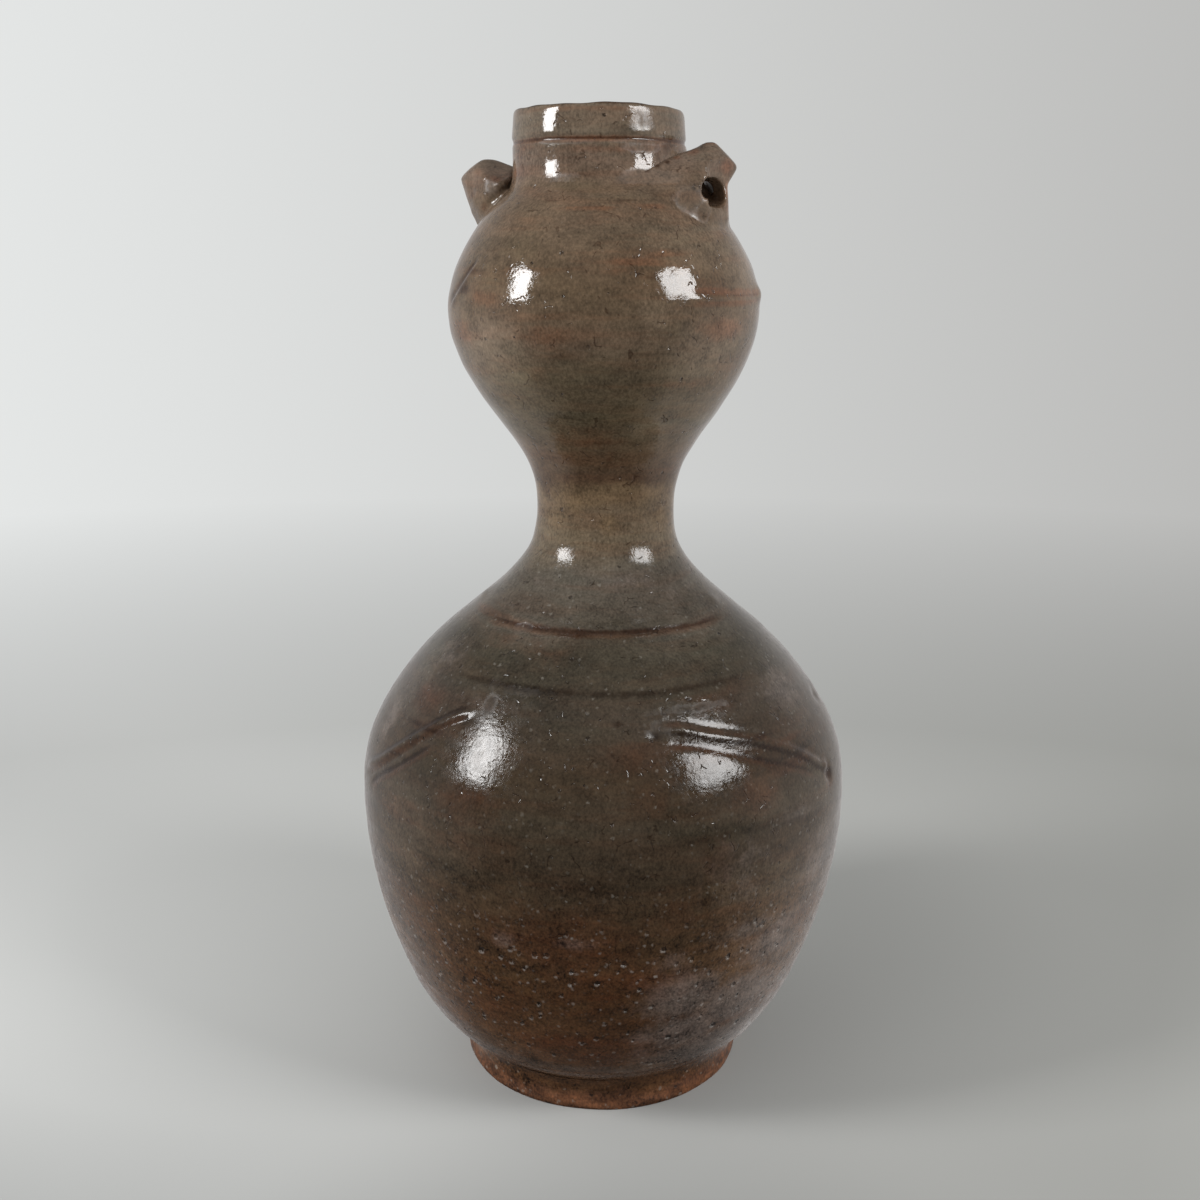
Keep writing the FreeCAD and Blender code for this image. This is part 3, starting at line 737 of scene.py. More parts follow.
def makeSpeckGroup():           # round specks or pits scattered through the clay
    tree, given, out = newGroup("kilnSpecks", "Mask", Scale=300.0, Size=0.2, Share=0.5, Soft=0.06, Vary=0.0)
    raggedness = 0.0009         # metres that a speck's edge wanders
    uneven = noiseTexture(tree, given["Vector"], 1700.0, detail=1.0)["Color"]
    uneven = vectorMath(tree, "SCALE", uneven, scale=raggedness)
    spot = vectorMath(tree, "ADD", given["Vector"], uneven)
    cells = put(tree, "ShaderNodeTexVoronoi", {"Vector": spot, "Scale": given["Scale"]}).outputs
    sizeDraw, shareDraw, weightDraw = put(tree, "ShaderNodeSeparateColor", {0: cells["Color"]}).outputs
    size = times(tree, given["Size"], addTimes(tree, sizeDraw, 0.8, 0.35))
    disc = linearFade(tree, cells["Distance"], size, math2(tree, "SUBTRACT", size, given["Soft"]))
    chosen = math2(tree, "LESS_THAN", shareDraw, given["Share"])
    even = math2(tree, "SUBTRACT", 1.0, given["Vary"])
    weight = addTimes(tree, times(tree, weightDraw, weightDraw), given["Vary"], even)
    tree.links.new(times(tree, times(tree, disc, chosen), weight), out)
    return tree


mottleClouds = [                # scale, flattening and depth
    (28.0, 1.6, 0.50), (70.0, 3.0, 0.65), (150.0, 1.6, 0.80), (420.0, 1.1, 0.55), (1500.0, 0.8, 1.40),
]
darkestMottle = 0.15


def makeMottleGroup():          # the uneven lightness of an ash glaze, as a factor near 1
    tree, given, out = newGroup("ashMottle", "Factor", Amount=1.0)
    total = 0.0
    for scale, flatten, depth in mottleClouds:
        flat = vectorMath(tree, "MULTIPLY", given["Vector"], (1.0, 1.0, flatten))
        cloud = noiseTexture(tree, flat, scale, roughness=0.6)["Fac"]
        total = addTimes(tree, math2(tree, "SUBTRACT", cloud, 0.5), depth, total)
    factor = addTimes(tree, total, given["Amount"], 1.0)
    tree.links.new(math2(tree, "MAXIMUM", factor, darkestMottle), out)
    return tree


def makeStreakGroup():          # cloudy bands laid round by the wheel
    tree, given, out = newGroup("wheelStreaks", "Mask", Scale=60.0, Flatten=3.0, Low=0.35, High=0.65)
    stretch = put(tree, "ShaderNodeCombineXYZ", {0: 1.0, 1: 1.0, 2: given["Flatten"]}).outputs[0]
    place = vectorMath(tree, "MULTIPLY", given["Vector"], stretch)
    cloud = put(tree, "ShaderNodeTexNoise", {"Vector": place, "Scale": given["Scale"], "Detail": 5.0,
                                             "Roughness": 0.62, "Distortion": 0.3}).outputs[0]
    tree.links.new(ramp(tree, cloud, given["Low"], given["High"]), out)
    return tree


def makeHairGroup():            # short curved hairlines
    tree, given, out = newGroup("hairCracks", "Mask", Scale=110.0, Width=0.03, Share=0.3)
    curl = 0.006                # metres that a line bends aside
    bend = noiseTexture(tree, given["Vector"], 190.0)["Color"]
    bend = vectorMath(tree, "SUBTRACT", bend, (0.5, 0.5, 0.5))
    place = vectorMath(tree, "ADD", given["Vector"], vectorMath(tree, "SCALE", bend, scale=curl))
    cells = put(tree, "ShaderNodeTexVoronoi", {"Vector": place, "Scale": given["Scale"]},
                feature="DISTANCE_TO_EDGE").outputs
    line = linearFade(tree, cells["Distance"], given["Width"], 0.0)
    patch = noiseTexture(tree, given["Vector"], 330.0, detail=1.0)["Fac"]
    limit = math2(tree, "SUBTRACT", 1.0, given["Share"])
    chosen = linearFade(tree, patch, limit, math2(tree, "ADD", limit, 0.03))
    tree.links.new(times(tree, line, chosen), out)
    return tree


def makeSkinGroup():            # the uneven skin of a thick glaze, as a height in mm
    tree, given, out = newGroup("glazeSkin", "Height", Fine=0.006, Coarse=0.02, Turning=0.01)
    flat = vectorMath(tree, "MULTIPLY", given["Vector"], (0.12, 0.12, 1.0))
    fine = noiseTexture(tree, given["Vector"], 900.0, detail=3.0, roughness=0.6)["Fac"]
    coarse = noiseTexture(tree, given["Vector"], 260.0)["Fac"]
    turning = noiseTexture(tree, flat, 620.0, detail=3.0)["Fac"]
    total = times(tree, fine, given["Fine"])
    total = addTimes(tree, coarse, given["Coarse"], total)
    tree.links.new(addTimes(tree, turning, given["Turning"], total), out)
    return tree


specks, mottle, streaks = makeSpeckGroup(), makeMottleGroup(), makeStreakGroup()
hairs, skin = makeHairGroup(), makeSkinGroup()


def placed(tree, group, where, **numbers):
    return put(tree, "ShaderNodeGroup", {"Vector": where, **numbers}, node_tree=group).outputs[0]


def finishMaterial(tree, colour, gloss, height, ior):       # height in mm
    bump = put(tree, "ShaderNodeBump", {"Height": height, "Distance": mm, "Strength": 1.0})
    shader = put(tree, "ShaderNodeBsdfPrincipled", {"Base Color": colour, "Roughness": gloss,
                                                    "Normal": bump.outputs[0], "IOR": ior})
    put(tree, "ShaderNodeOutputMaterial", {"Surface": shader.outputs[0]})


glazeTones = {
    "byHeight": [       # height in mm, colour
        (0, (0.118, 0.060, 0.030)), (14, (0.124, 0.069, 0.038)), (33, (0.099, 0.047, 0.021)),
        (48, (0.090, 0.046, 0.020)), (61, (0.080, 0.043, 0.021)), (73, (0.066, 0.042, 0.024)),
        (84, (0.054, 0.037, 0.023)), (96, (0.057, 0.042, 0.028)), (107, (0.045, 0.030, 0.018)),
        (120, (0.054, 0.041, 0.030)), (127, (0.048, 0.039, 0.027)), (134, (0.048, 0.039, 0.027)),
        (141, (0.077, 0.063, 0.048)), (150, (0.092, 0.078, 0.061)), (158, (0.144, 0.109, 0.072)),
        (166, (0.145, 0.103, 0.067)), (173, (0.079, 0.050, 0.031)), (181, (0.126, 0.079, 0.047)),
        (190, (0.132, 0.103, 0.066)), (199, (0.119, 0.087, 0.053)), (213, (0.125, 0.088, 0.059)),
        (227, (0.110, 0.074, 0.045)), (240, (0.117, 0.082, 0.054)), (248, (0.130, 0.088, 0.057)),
        (256, (0.152, 0.105, 0.076)), (264, (0.140, 0.110, 0.079)), (270, (0.140, 0.108, 0.078)),
    ],
    "rust": (1.13, 0.88, 0.79, 1), "olive": (0.91, 0.96, 0.94, 1),      # these five multiply
    "dark": (0.42, 0.34, 0.30, 1), "light": (1.36, 1.40, 1.46, 1), "hair": (0.35, 0.28, 0.24, 1),
    "blue": (0.166, 0.133, 0.116, 1), "ochre": (0.185, 0.125, 0.070, 1),
    "palePoint": (0.235, 0.215, 0.185, 1), "grit": (0.42, 0.38, 0.35, 1),
    "pit": (0.012, 0.008, 0.006, 1),
}
# The grit share sets how strongly the painted glints on the low pits' lit edges show.
glazeShare = {"clouds": 0.4, "bands": 0.50, "ochre": 0.7, "blue": 0.76, "hair": 0.8, "pit": 0.9, "grit": 0.8}
glazeDetail = {         # what the shared groups are given
    "clouds": {"Scale": 62.0, "Flatten": 2.2, "Low": 0.40, "High": 0.66},
    "bands": {"Scale": 34.0, "Flatten": 9.0, "Low": 0.42, "High": 0.70},
    "points": {"Scale": 600.0, "Size": 0.33, "Share": 0.55, "Soft": 0.22, "Vary": 0.9},
    "bigPoints": {"Scale": 400.0, "Size": 0.27, "Share": 0.50, "Soft": 0.18, "Vary": 0.9},
    "pits": {"Scale": 280.0, "Size": 0.15, "Share": 0.60, "Soft": 0.06, "Vary": 0.6},
    "lowPits": {"Scale": 330.0, "Size": 0.27, "Share": 0.75, "Soft": 0.12, "Vary": 0.5},
    "hairLines": {"Scale": 130.0, "Width": 0.030, "Share": 0.40},
    "dull": {"Scale": 120.0, "Flatten": 1.4, "Low": 0.35, "High": 0.75},
    "broken": {"Scale": 430.0, "Flatten": 0.8, "Low": 0.40, "High": 0.55},
}
glazeZones = {          # metres up, where each begins and where it is full
    "lowBelly": (0.086, 0.050), "lowerPot": (0.170, 0.150), "mottle": (0.100, 0.055),
}
litEdge = (0.0002, 0.0, 0.0006)         # metres from a pit to its lit edge
glazePoints = {"fine": 0.10, "fineLowerPot": 0.38, "bigLowerPot": 0.42, "bigLowBelly": 0.40}
glazeSkin = {           # mm, everywhere and what the lower parts add
    "fine": 0.036, "fineLowerPot": 0.022, "fineLowBelly": 0.03,
    "coarse": 0.12, "coarseLowerPot": -0.06, "turning": 0.035,
}
glazeRelief = {"pits": -0.22, "lowPits": -0.60, "hairLines": -0.06, "pale": 0.04}       # mm out
glazeGloss = {"clean": 0.055, "dull": 0.05, "broken": 0.11, "lowBelly": 0.10, "matte": 0.75}   # roughness


def heightRamp(tree, stops, z, top):
    node = put(tree, "ShaderNodeValToRGB", {0: ramp(tree, z, 0.0, top, shape="LINEAR")})
    points = node.color_ramp.elements
    points[0].position, points[0].color = stops[0][0] * mm / top, (*stops[0][1], 1)
    points[1].position, points[1].color = stops[-1][0] * mm / top, (*stops[-1][1], 1)
    for height, colour in stops[1:-1]:
        points.new(height * mm / top).color = (*colour, 1)
    return node.outputs[0]


def raggedMasks(tree, where):   # the painted colours with broken edges
    ragged = noiseTexture(tree, where, 240.0, detail=5.0, roughness=0.7)["Fac"]
    ragged = addTimes(tree, ragged, 0.9, -0.45)
    masks = {}
    for kind in patches:
        painted = put(tree, "ShaderNodeAttribute", attribute_name=kind).outputs["Fac"]
        masks[kind] = ramp(tree, math2(tree, "ADD", painted, ragged), 0.12, 0.80)
    return masks


def glazeColour(tree, where, z, masks):
    sway = addTimes(tree, noiseTexture(tree, where, 45.0)["Fac"], 0.010, -0.005)
    colour = heightRamp(tree, glazeTones["byHeight"], math2(tree, "ADD", z, sway), 270 * mm)
    clouds, bands = (times(tree, placed(tree, streaks, where, **glazeDetail[kind]), glazeShare[kind])
                     for kind in ("clouds", "bands"))
    colour = tint(tree, clouds, colour, glazeTones["olive"])
    colour = tint(tree, bands, colour, glazeTones["rust"])
    # the light patches are partly painted sheen on the pot's sides
    for kind in ("light", "olive"):
        colour = tint(tree, masks[kind], colour, glazeTones[kind])
    for kind in ("ochre", "blue"):
        colour = blend(tree, times(tree, masks[kind], glazeShare[kind]), colour, glazeTones[kind])
    # the dark patches include painted shade in the marks' hollows
    for kind in ("rust", "dark"):
        colour = tint(tree, masks[kind], colour, glazeTones[kind])
    amount = ramp(tree, z, *glazeZones["mottle"], 1.0, 1.6)
    return vectorMath(tree, "SCALE", colour, scale=placed(tree, mottle, where, Amount=amount))


def makeGlaze(name, ior):
    material, tree = newMaterial(name)
    where = put(tree, "ShaderNodeTexCoord").outputs["Object"]
    z = put(tree, "ShaderNodeSeparateXYZ", {0: where}).outputs[2]
    masks = raggedMasks(tree, where)
    colour = glazeColour(tree, where, z, masks)
    lowBelly, lowerPot = (ramp(tree, z, *glazeZones[zone]) for zone in ("lowBelly", "lowerPot"))

    points, bigPoints, pits, lowPits = (placed(tree, specks, where, **glazeDetail[kind])
                                        for kind in ("points", "bigPoints", "pits", "lowPits"))
    fineShare = addTimes(tree, lowerPot, glazePoints["fineLowerPot"], glazePoints["fine"])
    points = times(tree, points, fineShare)
    bigShare = times(tree, lowerPot, glazePoints["bigLowerPot"])
    bigShare = addTimes(tree, lowBelly, glazePoints["bigLowBelly"], bigShare)
    pale = math2(tree, "MAXIMUM", points, times(tree, bigPoints, bigShare))
    # Painted glints: a pale crescent, in the grit tone, on the lit edge beside each low pit.
    beside = placed(tree, specks, vectorMath(tree, "ADD", where, litEdge), **glazeDetail["lowPits"])
    pitGlints = times(tree, math2(tree, "SUBTRACT", beside, lowPits, clamp=True), lowBelly)
    lowPits = times(tree, lowPits, lowBelly)
    allPits = math2(tree, "MAXIMUM", pits, lowPits)
    hairLines = placed(tree, hairs, where, **glazeDetail["hairLines"])

    colour = blend(tree, pale, colour, blend(tree, lowBelly, glazeTones["palePoint"], glazeTones["grit"]))
    colour = tint(tree, times(tree, hairLines, glazeShare["hair"]), colour, glazeTones["hair"])
    colour = blend(tree, times(tree, allPits, glazeShare["pit"]), colour, glazeTones["pit"])
    colour = blend(tree, times(tree, pitGlints, glazeShare["grit"]), colour, glazeTones["grit"])

    fine = addTimes(tree, lowerPot, glazeSkin["fineLowerPot"], glazeSkin["fine"])
    fine = addTimes(tree, lowBelly, glazeSkin["fineLowBelly"], fine)
    coarse = addTimes(tree, lowerPot, glazeSkin["coarseLowerPot"], glazeSkin["coarse"])
    height = placed(tree, skin, where, Fine=fine, Coarse=coarse, Turning=glazeSkin["turning"])
    for kind, mask in (("pits", pits), ("lowPits", lowPits), ("hairLines", hairLines), ("pale", pale)):
        height = addTimes(tree, mask, glazeRelief[kind], height)

    dull, broken = (placed(tree, streaks, where, **glazeDetail[kind]) for kind in ("dull", "broken"))
    broken = times(tree, broken, lowerPot)
    gloss = addTimes(tree, dull, glazeGloss["dull"], glazeGloss["clean"])
    for kind, mask in (("broken", broken), ("lowBelly", lowBelly), ("matte", masks["matte"])):
        gloss = addTimes(tree, mask, glazeGloss[kind], gloss)
    finishMaterial(tree, colour, gloss, height, ior)
    return material


clayTones = {
    "dark": (0.106, 0.040, 0.016, 1), "light": (0.165, 0.066, 0.029, 1), "worn": (0.150, 0.058, 0.023, 1),
    "washDark": (0.096, 0.043, 0.018, 1), "washLight": (0.112, 0.054, 0.025, 1),    # under the glaze's edge
    "grain": (0.30, 0.235, 0.185, 1), "pit": (0.020, 0.012, 0.008, 1),
}
clayDetail = {
    "clouds": {"Scale": 150.0, "Flatten": 2.4, "Low": 0.36, "High": 0.68},
    "grit": {"Scale": 520.0, "Size": 0.30, "Share": 0.42, "Soft": 0.10},
    "stones": {"Scale": 300.0, "Size": 0.20, "Share": 0.30, "Soft": 0.06},
    "pits": {"Scale": 260.0, "Size": 0.16, "Share": 0.40, "Soft": 0.05},
    "skin": {"Fine": 0.05, "Coarse": 0.05, "Turning": 0.05},
}
clayZones = {"washed": (0.0028, 0.0070), "worn": (0.0030, 0.0004)}      # metres up, begun and full
clayShare = {"worn": 0.5, "grit": 0.55, "stones": 0.8, "pit": 0.8}
clayRelief = {"pit": -0.12, "pale": 0.05}       # mm out
clayGloss = {"bare": 0.62, "washed": 0.20}


def makeClay():
    material, tree = newMaterial("bareClay")
    where = put(tree, "ShaderNodeTexCoord").outputs["Object"]
    z = put(tree, "ShaderNodeSeparateXYZ", {0: where}).outputs[2]
    edge = noiseTexture(tree, where, 110.0, detail=5.0, roughness=0.65)["Fac"]
    washed = ramp(tree, math2(tree, "ADD", z, addTimes(tree, edge, 0.012, -0.006)), *clayZones["washed"])
    clouds = placed(tree, streaks, where, **clayDetail["clouds"])
    grit, stones, pits = (placed(tree, specks, where, **clayDetail[kind])
                          for kind in ("grit", "stones", "pits"))

    bare = blend(tree, clouds, clayTones["dark"], clayTones["light"])
    worn = ramp(tree, z, *clayZones["worn"])
    bare = blend(tree, times(tree, worn, clayShare["worn"]), bare, clayTones["worn"])
    wash = blend(tree, clouds, clayTones["washDark"], clayTones["washLight"])
    colour = blend(tree, washed, bare, wash)
    colour = vectorMath(tree, "SCALE", colour, scale=placed(tree, mottle, where, Amount=2.2))
    grit, stones = times(tree, grit, clayShare["grit"]), times(tree, stones, clayShare["stones"])
    pale = math2(tree, "MAXIMUM", grit, stones)
    colour = blend(tree, pale, colour, clayTones["grain"])
    colour = blend(tree, times(tree, pits, clayShare["pit"]), colour, clayTones["pit"])

    height = placed(tree, skin, where, **clayDetail["skin"])
    height = addTimes(tree, pits, clayRelief["pit"], height)
    height = addTimes(tree, pale, clayRelief["pale"], height)
    gloss = addTimes(tree, washed, clayGloss["washed"] - clayGloss["bare"], clayGloss["bare"])
    finishMaterial(tree, colour, gloss, height, 1.47)
    return material


makeCamera()
makeWorld()
makeLamps()
makeFloor()
glaze = makeGlaze("ashGlaze", 1.47)
thinGlaze = makeGlaze("ashGlazeThin", 1.40)
clay = makeClay()
print("made the room and", len(bpy.data.materials), "materials")


def inset(z, depth):            # the point of the inner wall that faces height z of the outside
    return potCurve(z) - depth / leaning(z), z + depth * slopeAt(z) / leaning(z)


def outsideSection(low, high, spacing):
    return [(float(potCurve(z)), float(z)) for z in ringHeights(low, high, spacing)]


lower = {
    "steps": 400,
    "wall": 4.5 * mm,
    "innerLow": 22 * mm,        # lowest height of the outside that the inner wall follows
    "floor": 6 * mm,
    "floorFlat": 0.9,           # share of the inside's foot that the flat floor takes
    "boss": 32.9 * mm,
    "ring": 1.35 * mm,
    "marked": (92 * mm, 141 * mm),      # the marked shoulder, which has finer rings
    "fineRing": 0.72 * mm,
}


def makeLowerBulb():
    low, high = lower["marked"]
    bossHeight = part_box("lower_bulb")[0].z
    section = [(0, bossHeight), (lower["boss"], bossHeight), (lower["boss"], footTop)]
    section += outsideSection(footTop, seamHeight,
                              lambda z: np.where((z > low) & (z < high), lower["fineRing"], lower["ring"]))
    inner = [inset(z, lower["wall"]) for z in np.linspace(seamHeight, lower["innerLow"], 24)]
    floorHeight = footTop + lower["floor"]
    section += inner + [(inner[-1][0] * lower["floorFlat"], floorHeight), (0, floorHeight)]
    item = meshPiece("lowerBulb", spunShape(section, lower["steps"]), "lower_bulb", thinGlaze)
    writePoints(item.data, handThrown(readPoints(item.data)))
    paintGlaze(item)
    report(item)


upper = {"steps": 360, "ring": 0.8 * mm, "wall": 4.5 * mm, "bore": 18.6 * mm}


def makeUpperBulb():
    section = outsideSection(seamHeight, collarSeat, lambda z: np.full_like(z, upper["ring"]))
    section.append((upper["bore"], collarSeat))
    section += [inset(z, upper["wall"]) for z in np.linspace(collarSeat - upper["wall"], seamHeight, 24)]
    section.append(section[0])
    item = meshPiece("upperBulb", spunShape(section, upper["steps"]), "upper_bulb", glaze)
    writePoints(item.data, handThrown(readPoints(item.data)))
    paintGlaze(item)
    report(item)


collar = {                      # all in mm
    "steps": 240,
    "outside": [
        (26.6, 248.35), (25.75, 249.1), (25.0, 249.9), (24.4, 250.8), (23.9, 251.9), (23.48, 253.2),
        (23.14, 255.0), (22.93, 257.0), (22.86, 258.8), (22.84, 260.1), (22.8, 261.05), (22.62, 261.5),
        (22.62, 262.0), (22.8, 262.6), (22.97, 263.3), (22.88, 265.0), (22.78, 266.8), (22.68, 268.4),
        (22.48, 269.4), (22.1, 269.88), (21.3, 270.0), (20.1, 269.8), (19.2, 269.2), (18.75, 268.2),
        (18.6, 266.5),
    ],
    "bore": 18.6,
    "boreHeights": (264, 260, 256, 252),
    "spigot": 248.5,
    "spigotRadius": 20.8,
    "waves": [(0.16, 2, 0.5, 0), (0.1, 3, 0, -1 / 5), (0.06, 6, 0, 1 / 3)],
    "waveHeights": (252, 270),  # where the waves begin and where they are full
    "rimWaves": [(0.30, 1, 2.2, 0), (0.16, 3, 0.4, 0), (0.10, 7, 0, 0), (0.07, 15, 1, 0)],     # up and down
    "rimHeights": (258, 269),
    "swell": (1.3, 84, 26, 256.5, 3.5),         # out, degrees round and wide, height and tall
}


def makeCollar():
    section = drawnSection(collar["outside"])
    section += [(collar["bore"] * mm, z * mm) for z in (*collar["boreHeights"], collar["spigot"])]
    section.append((collar["spigotRadius"] * mm, collar["spigot"] * mm))
    section.append(section[0])
    item = meshPiece("mouthCollar", spunShape(section, collar["steps"]), "mouth_collar", glaze)
    points = readPoints(item.data)
    turn, z, radius = polar(points)
    side, height = np.radians(turn), z / mm
    outward = outwardFrom(points, radius)
    low, high = collar["waveHeights"]
    wave = wavesAt(collar["waves"], side, height) * mm * np.clip((height - low) / (high - low), 0, 1)
    out, swellTurn, wide, middle, tall = collar["swell"]
    swell = out * mm * np.exp(-(wrap(turn - swellTurn) / wide) ** 2 - ((height - middle) / tall) ** 2)
    points[:, :2] += outward * (wave + swell)[:, None]
    rim = wavesAt(collar["rimWaves"], side, height) * mm * smooth(height, *collar["rimHeights"])
    points[:, 2] += rim
    drift(points, np.minimum(z, rimTop))
    writePoints(item.data, points)
    paintGlaze(item)
    report(item)


foot = {                        # all in mm
    "steps": 304,
    "outside": [
        (33.6, 0.0), (36.5, -0.0), (39.6, 0.0), (40.2, 0.25), (40.45, 0.9), (40.4, 2.2), (40.3, 4.0),
        (40.25, 5.6), (40.35, 7.0), (40.6, 8.2), (41.1, 9.4), (41.45, 10.15),
    ],
    "topInner": 39,
    "bore": 33.1,
    "boreHeights": (7, 3, 0.6),
    "waves": [(0.14, 3, 1, 1 / 6), (0.07, 7, 0, -1), (0.05, 13, 0, 2)],
    "waveRadii": (38.5, 40),    # where the waves begin and where they are full
}


def makeFoot():
    section = [(radius, max(height, 0)) for radius, height in drawnSection(foot["outside"])]
    section += [(foot["topInner"] * mm, footTop), (foot["bore"] * mm, footTop)]
    section += [(foot["bore"] * mm, z * mm) for z in foot["boreHeights"]]
    section.append(section[0])
    item = meshPiece("footRing", spunShape(section, foot["steps"]), "foot_ring", clay)
    points = readPoints(item.data)
    turn, z, radius = polar(points)
    wave = wavesAt(foot["waves"], np.radians(turn), z / mm) * mm * smooth(radius / mm, *foot["waveRadii"])
    points[:, :2] += outwardFrom(points, radius) * wave[:, None]
    drift(points, z)
    writePoints(item.data, points)
    report(item)


# The lug ears. Points are in mm: out from the axis, round from it, and up, for the right ear.
# The left ear is drawn in the same place and then turned half round. Each is the hull of every
# block and of a wing that runs on to the pot, with a tunnel cut from its mouth.

rightEar = {
    "blocks": [
        [
            (31.2, -5.3, 252.4), (32.5, -4.0, 256.6), (34.4, 0.1, 257.9), (35.6, 3.1, 257.5),
            (36.8, 6.3, 255.7), (29.8, 2.2, 262.1), (31.3, 4.2, 262.1), (22.6, 2.0, 258.9),
            (32.2, 9.5, 258.8), (33.7, 9.5, 255.4), (32.1, 8.8, 250.8), (34.4, 3.3, 250.8),
            (30.3, -6.2, 249.8), (26.2, 12.5, 249.0), (26.0, 0.0, 247.0), (27.4, 11.7, 256.4),
            (21.5, 12.5, 252.5),
        ],
        [
            (31.2, -7.4, 245.0), (30.3, -6.2, 249.8), (31.2, -5.3, 252.4), (34.5, 3.5, 252.2),
            (34.4, 3.3, 249.5), (34.8, 2.8, 245.6), (34.9, 2.4, 241.0), (32.2, 8.8, 251.5),
            (32.2, 8.8, 245.5), (32.5, 9.0, 240.5), (26.2, 12.5, 249.0), (29.0, 12.4, 243.0),
            (26.0, 0.0, 244.0), (33.7, -7.0, 241.2), (21.5, 12.5, 250.0),
        ],
    ],
    "wing": [
        (16.5, -16.0, 253.0), (19.6, -12.0, 255.0), (21.4, -9.4, 256.2), (22.8, -2.0, 258.8),
        (29.8, 2.2, 261.4), (32.5, -4.0, 256.6), (31.2, -5.3, 252.4), (30.3, -6.2, 249.8),
        (32.6, -8.4, 245.4), (33.8, -9.4, 241.6), (27.8, -12.8, 247.0), (30.4, -12.4, 243.6),
        (26.3, -12.9, 243.8), (23.8, -16.4, 245.8), (18.4, -19.0, 248.4), (24.0, 0.0, 244.0),
        (18.0, -4.0, 250.0), (26.5, -8.5, 250.4),
    ],
    "mouth": [
        (29.7, -7.1, 248.0), (30.2, -6.3, 250.5), (31.3, -4.2, 252.4), (33.0, -0.7, 252.8),
        (34.0, 1.4, 251.0), (34.0, 1.5, 247.2), (33.1, -0.5, 245.5), (31.1, -4.6, 245.8),
    ],
    "farEnd": (29.8, 10.4, 253.8),      # where its hole comes out
    "rounding": 7,
    "stretch": None,
    "spots": [
        # The dark spot at the mouth is painted shade inside the hole, and the light spot is painted light on
        # the hole's inner wall.
        ("matte", (28.4, -10.6, 246.6), 4.6, 1.0), ("matte", (31.9, -9.4, 244.2), 3.0, 1.0),
        ("light", (34.2, 3.4, 249.6), 2.4, 1.0), ("rust", (34.2, 3.4, 249.6), 2.4, 1.0),
        ("olive", (28.6, -8.8, 246.4), 3.6, 0.8), ("rust", (35.0, 1.4, 255.2), 2.6, 1.0),
        ("rust", (31.0, -5.0, 251.2), 1.3, 0.8), ("dark", (18.4, -13.9, 254.0), 0.9, 0.8),
        ("dark", (20.2, -11.2, 255.1), 0.9, 0.9), ("dark", (21.9, -9.0, 256.1), 0.9, 0.8),
        ("rust", (26.4, -2.6, 258.8), 1.9, 0.9), ("dark", (25.0, -8.6, 254.6), 0.8, 0.8),
        ("dark", (36.0, 2.2, 243.0), 1.6, 0.8), ("rust", (36.0, 2.2, 245.0), 2.4, 0.9),
        ("dark", (30.0, -1.6, 249.0), 3.2, 1.0), ("rust", (23.4, -6.4, 257.4), 1.2, 0.8),
        ("dark", (34.6, 0.2, 252.2), 0.9, 0.6), ("blue", (36.4, 3.0, 251.0), 1.6, 0.8),
        ("olive", (29.0, -4.0, 256.0), 3.0, 0.8), ("dark", (36.9, 3.0, 257.0), 0.8, 0.5),
    ],
}
leftEar = {
    "blocks": [
        [
            (29.2, -6.6, 245.0), (29.8, -5.9, 249.8), (31.0, -5.3, 252.4), (32.6, -4.6, 256.6),
            (35.3, -0.9, 257.9), (37.6, 2.1, 257.5), (39.2, 5.0, 255.7), (38.2, 4.8, 252.0),
            (35.9, 2.4, 248.7), (35.2, 1.5, 245.6), (36.0, 1.8, 241.0), (29.8, 2.2, 262.1),
            (31.8, 4.2, 262.1), (22.6, 2.0, 258.9), (33.4, 7.8, 258.8), (36.0, 7.6, 255.2),
            (35.2, 7.4, 250.0), (34.8, 7.0, 244.0), (34.4, 6.8, 239.4), (27.0, 12.5, 249.0),
            (21.5, 12.5, 252.5), (28.5, 11.2, 256.4), (26.0, 0.0, 244.0), (30.0, 12.0, 243.0),
            (32.4, -6.6, 241.6),
        ],
    ],
    "wing": [
        (16.5, -16.0, 253.0), (19.6, -12.0, 255.0), (21.4, -9.4, 256.2), (22.8, -2.0, 258.8),
        (29.8, 2.2, 261.4), (32.6, -4.6, 256.6), (31.0, -5.3, 252.4), (29.8, -5.9, 249.8),
        (29.2, -6.8, 245.3), (31.0, -8.4, 242.8), (27.6, -12.4, 244.4), (24.0, -15.6, 246.6),
        (18.6, -18.4, 248.8), (24.0, 0.0, 244.0), (18.0, -4.0, 250.0), (26.4, -8.4, 250.4),
    ],
    "mouth": [
        (29.9, -5.0, 248.1), (30.7, -4.3, 250.2), (32.3, -2.9, 252.2), (34.8, 0.5, 252.7),
        (35.7, 1.8, 250.6), (35.1, 1.7, 247.4), (33.3, -0.6, 246.0),
    ],
    "farEnd": None,             # its near side is closed
    "rounding": 21,
    "stretch": (1.03, 0.82),    # how much further out and how much lower than drawn
    "spots": [                  # in the left ear's own place
        ("matte", (-27.4, -12.2, 251.0), 3.4, 0.6), ("dark", (-23.6, -12.8, 254.6), 1.9, 0.8),
        ("dark", (-29.2, -13.6, 245.1), 1.0, 1.0), ("rust", (-30.4, -13.0, 245.6), 1.7, 0.9),
        ("rust", (-33.0, -11.0, 255.5), 2.6, 0.6), ("blue", (-33.6, -10.4, 250.0), 1.8, 0.5),
        ("dark", (-35.8, -11.0, 253.5), 1.1, 0.8), ("dark", (-34.9, -10.6, 249.5), 1.1, 0.7),
        ("rust", (-26.0, -12.0, 253.0), 2.0, 0.6), ("dark", (-28.0, -9.0, 257.0), 1.4, 0.6),
    ],
}
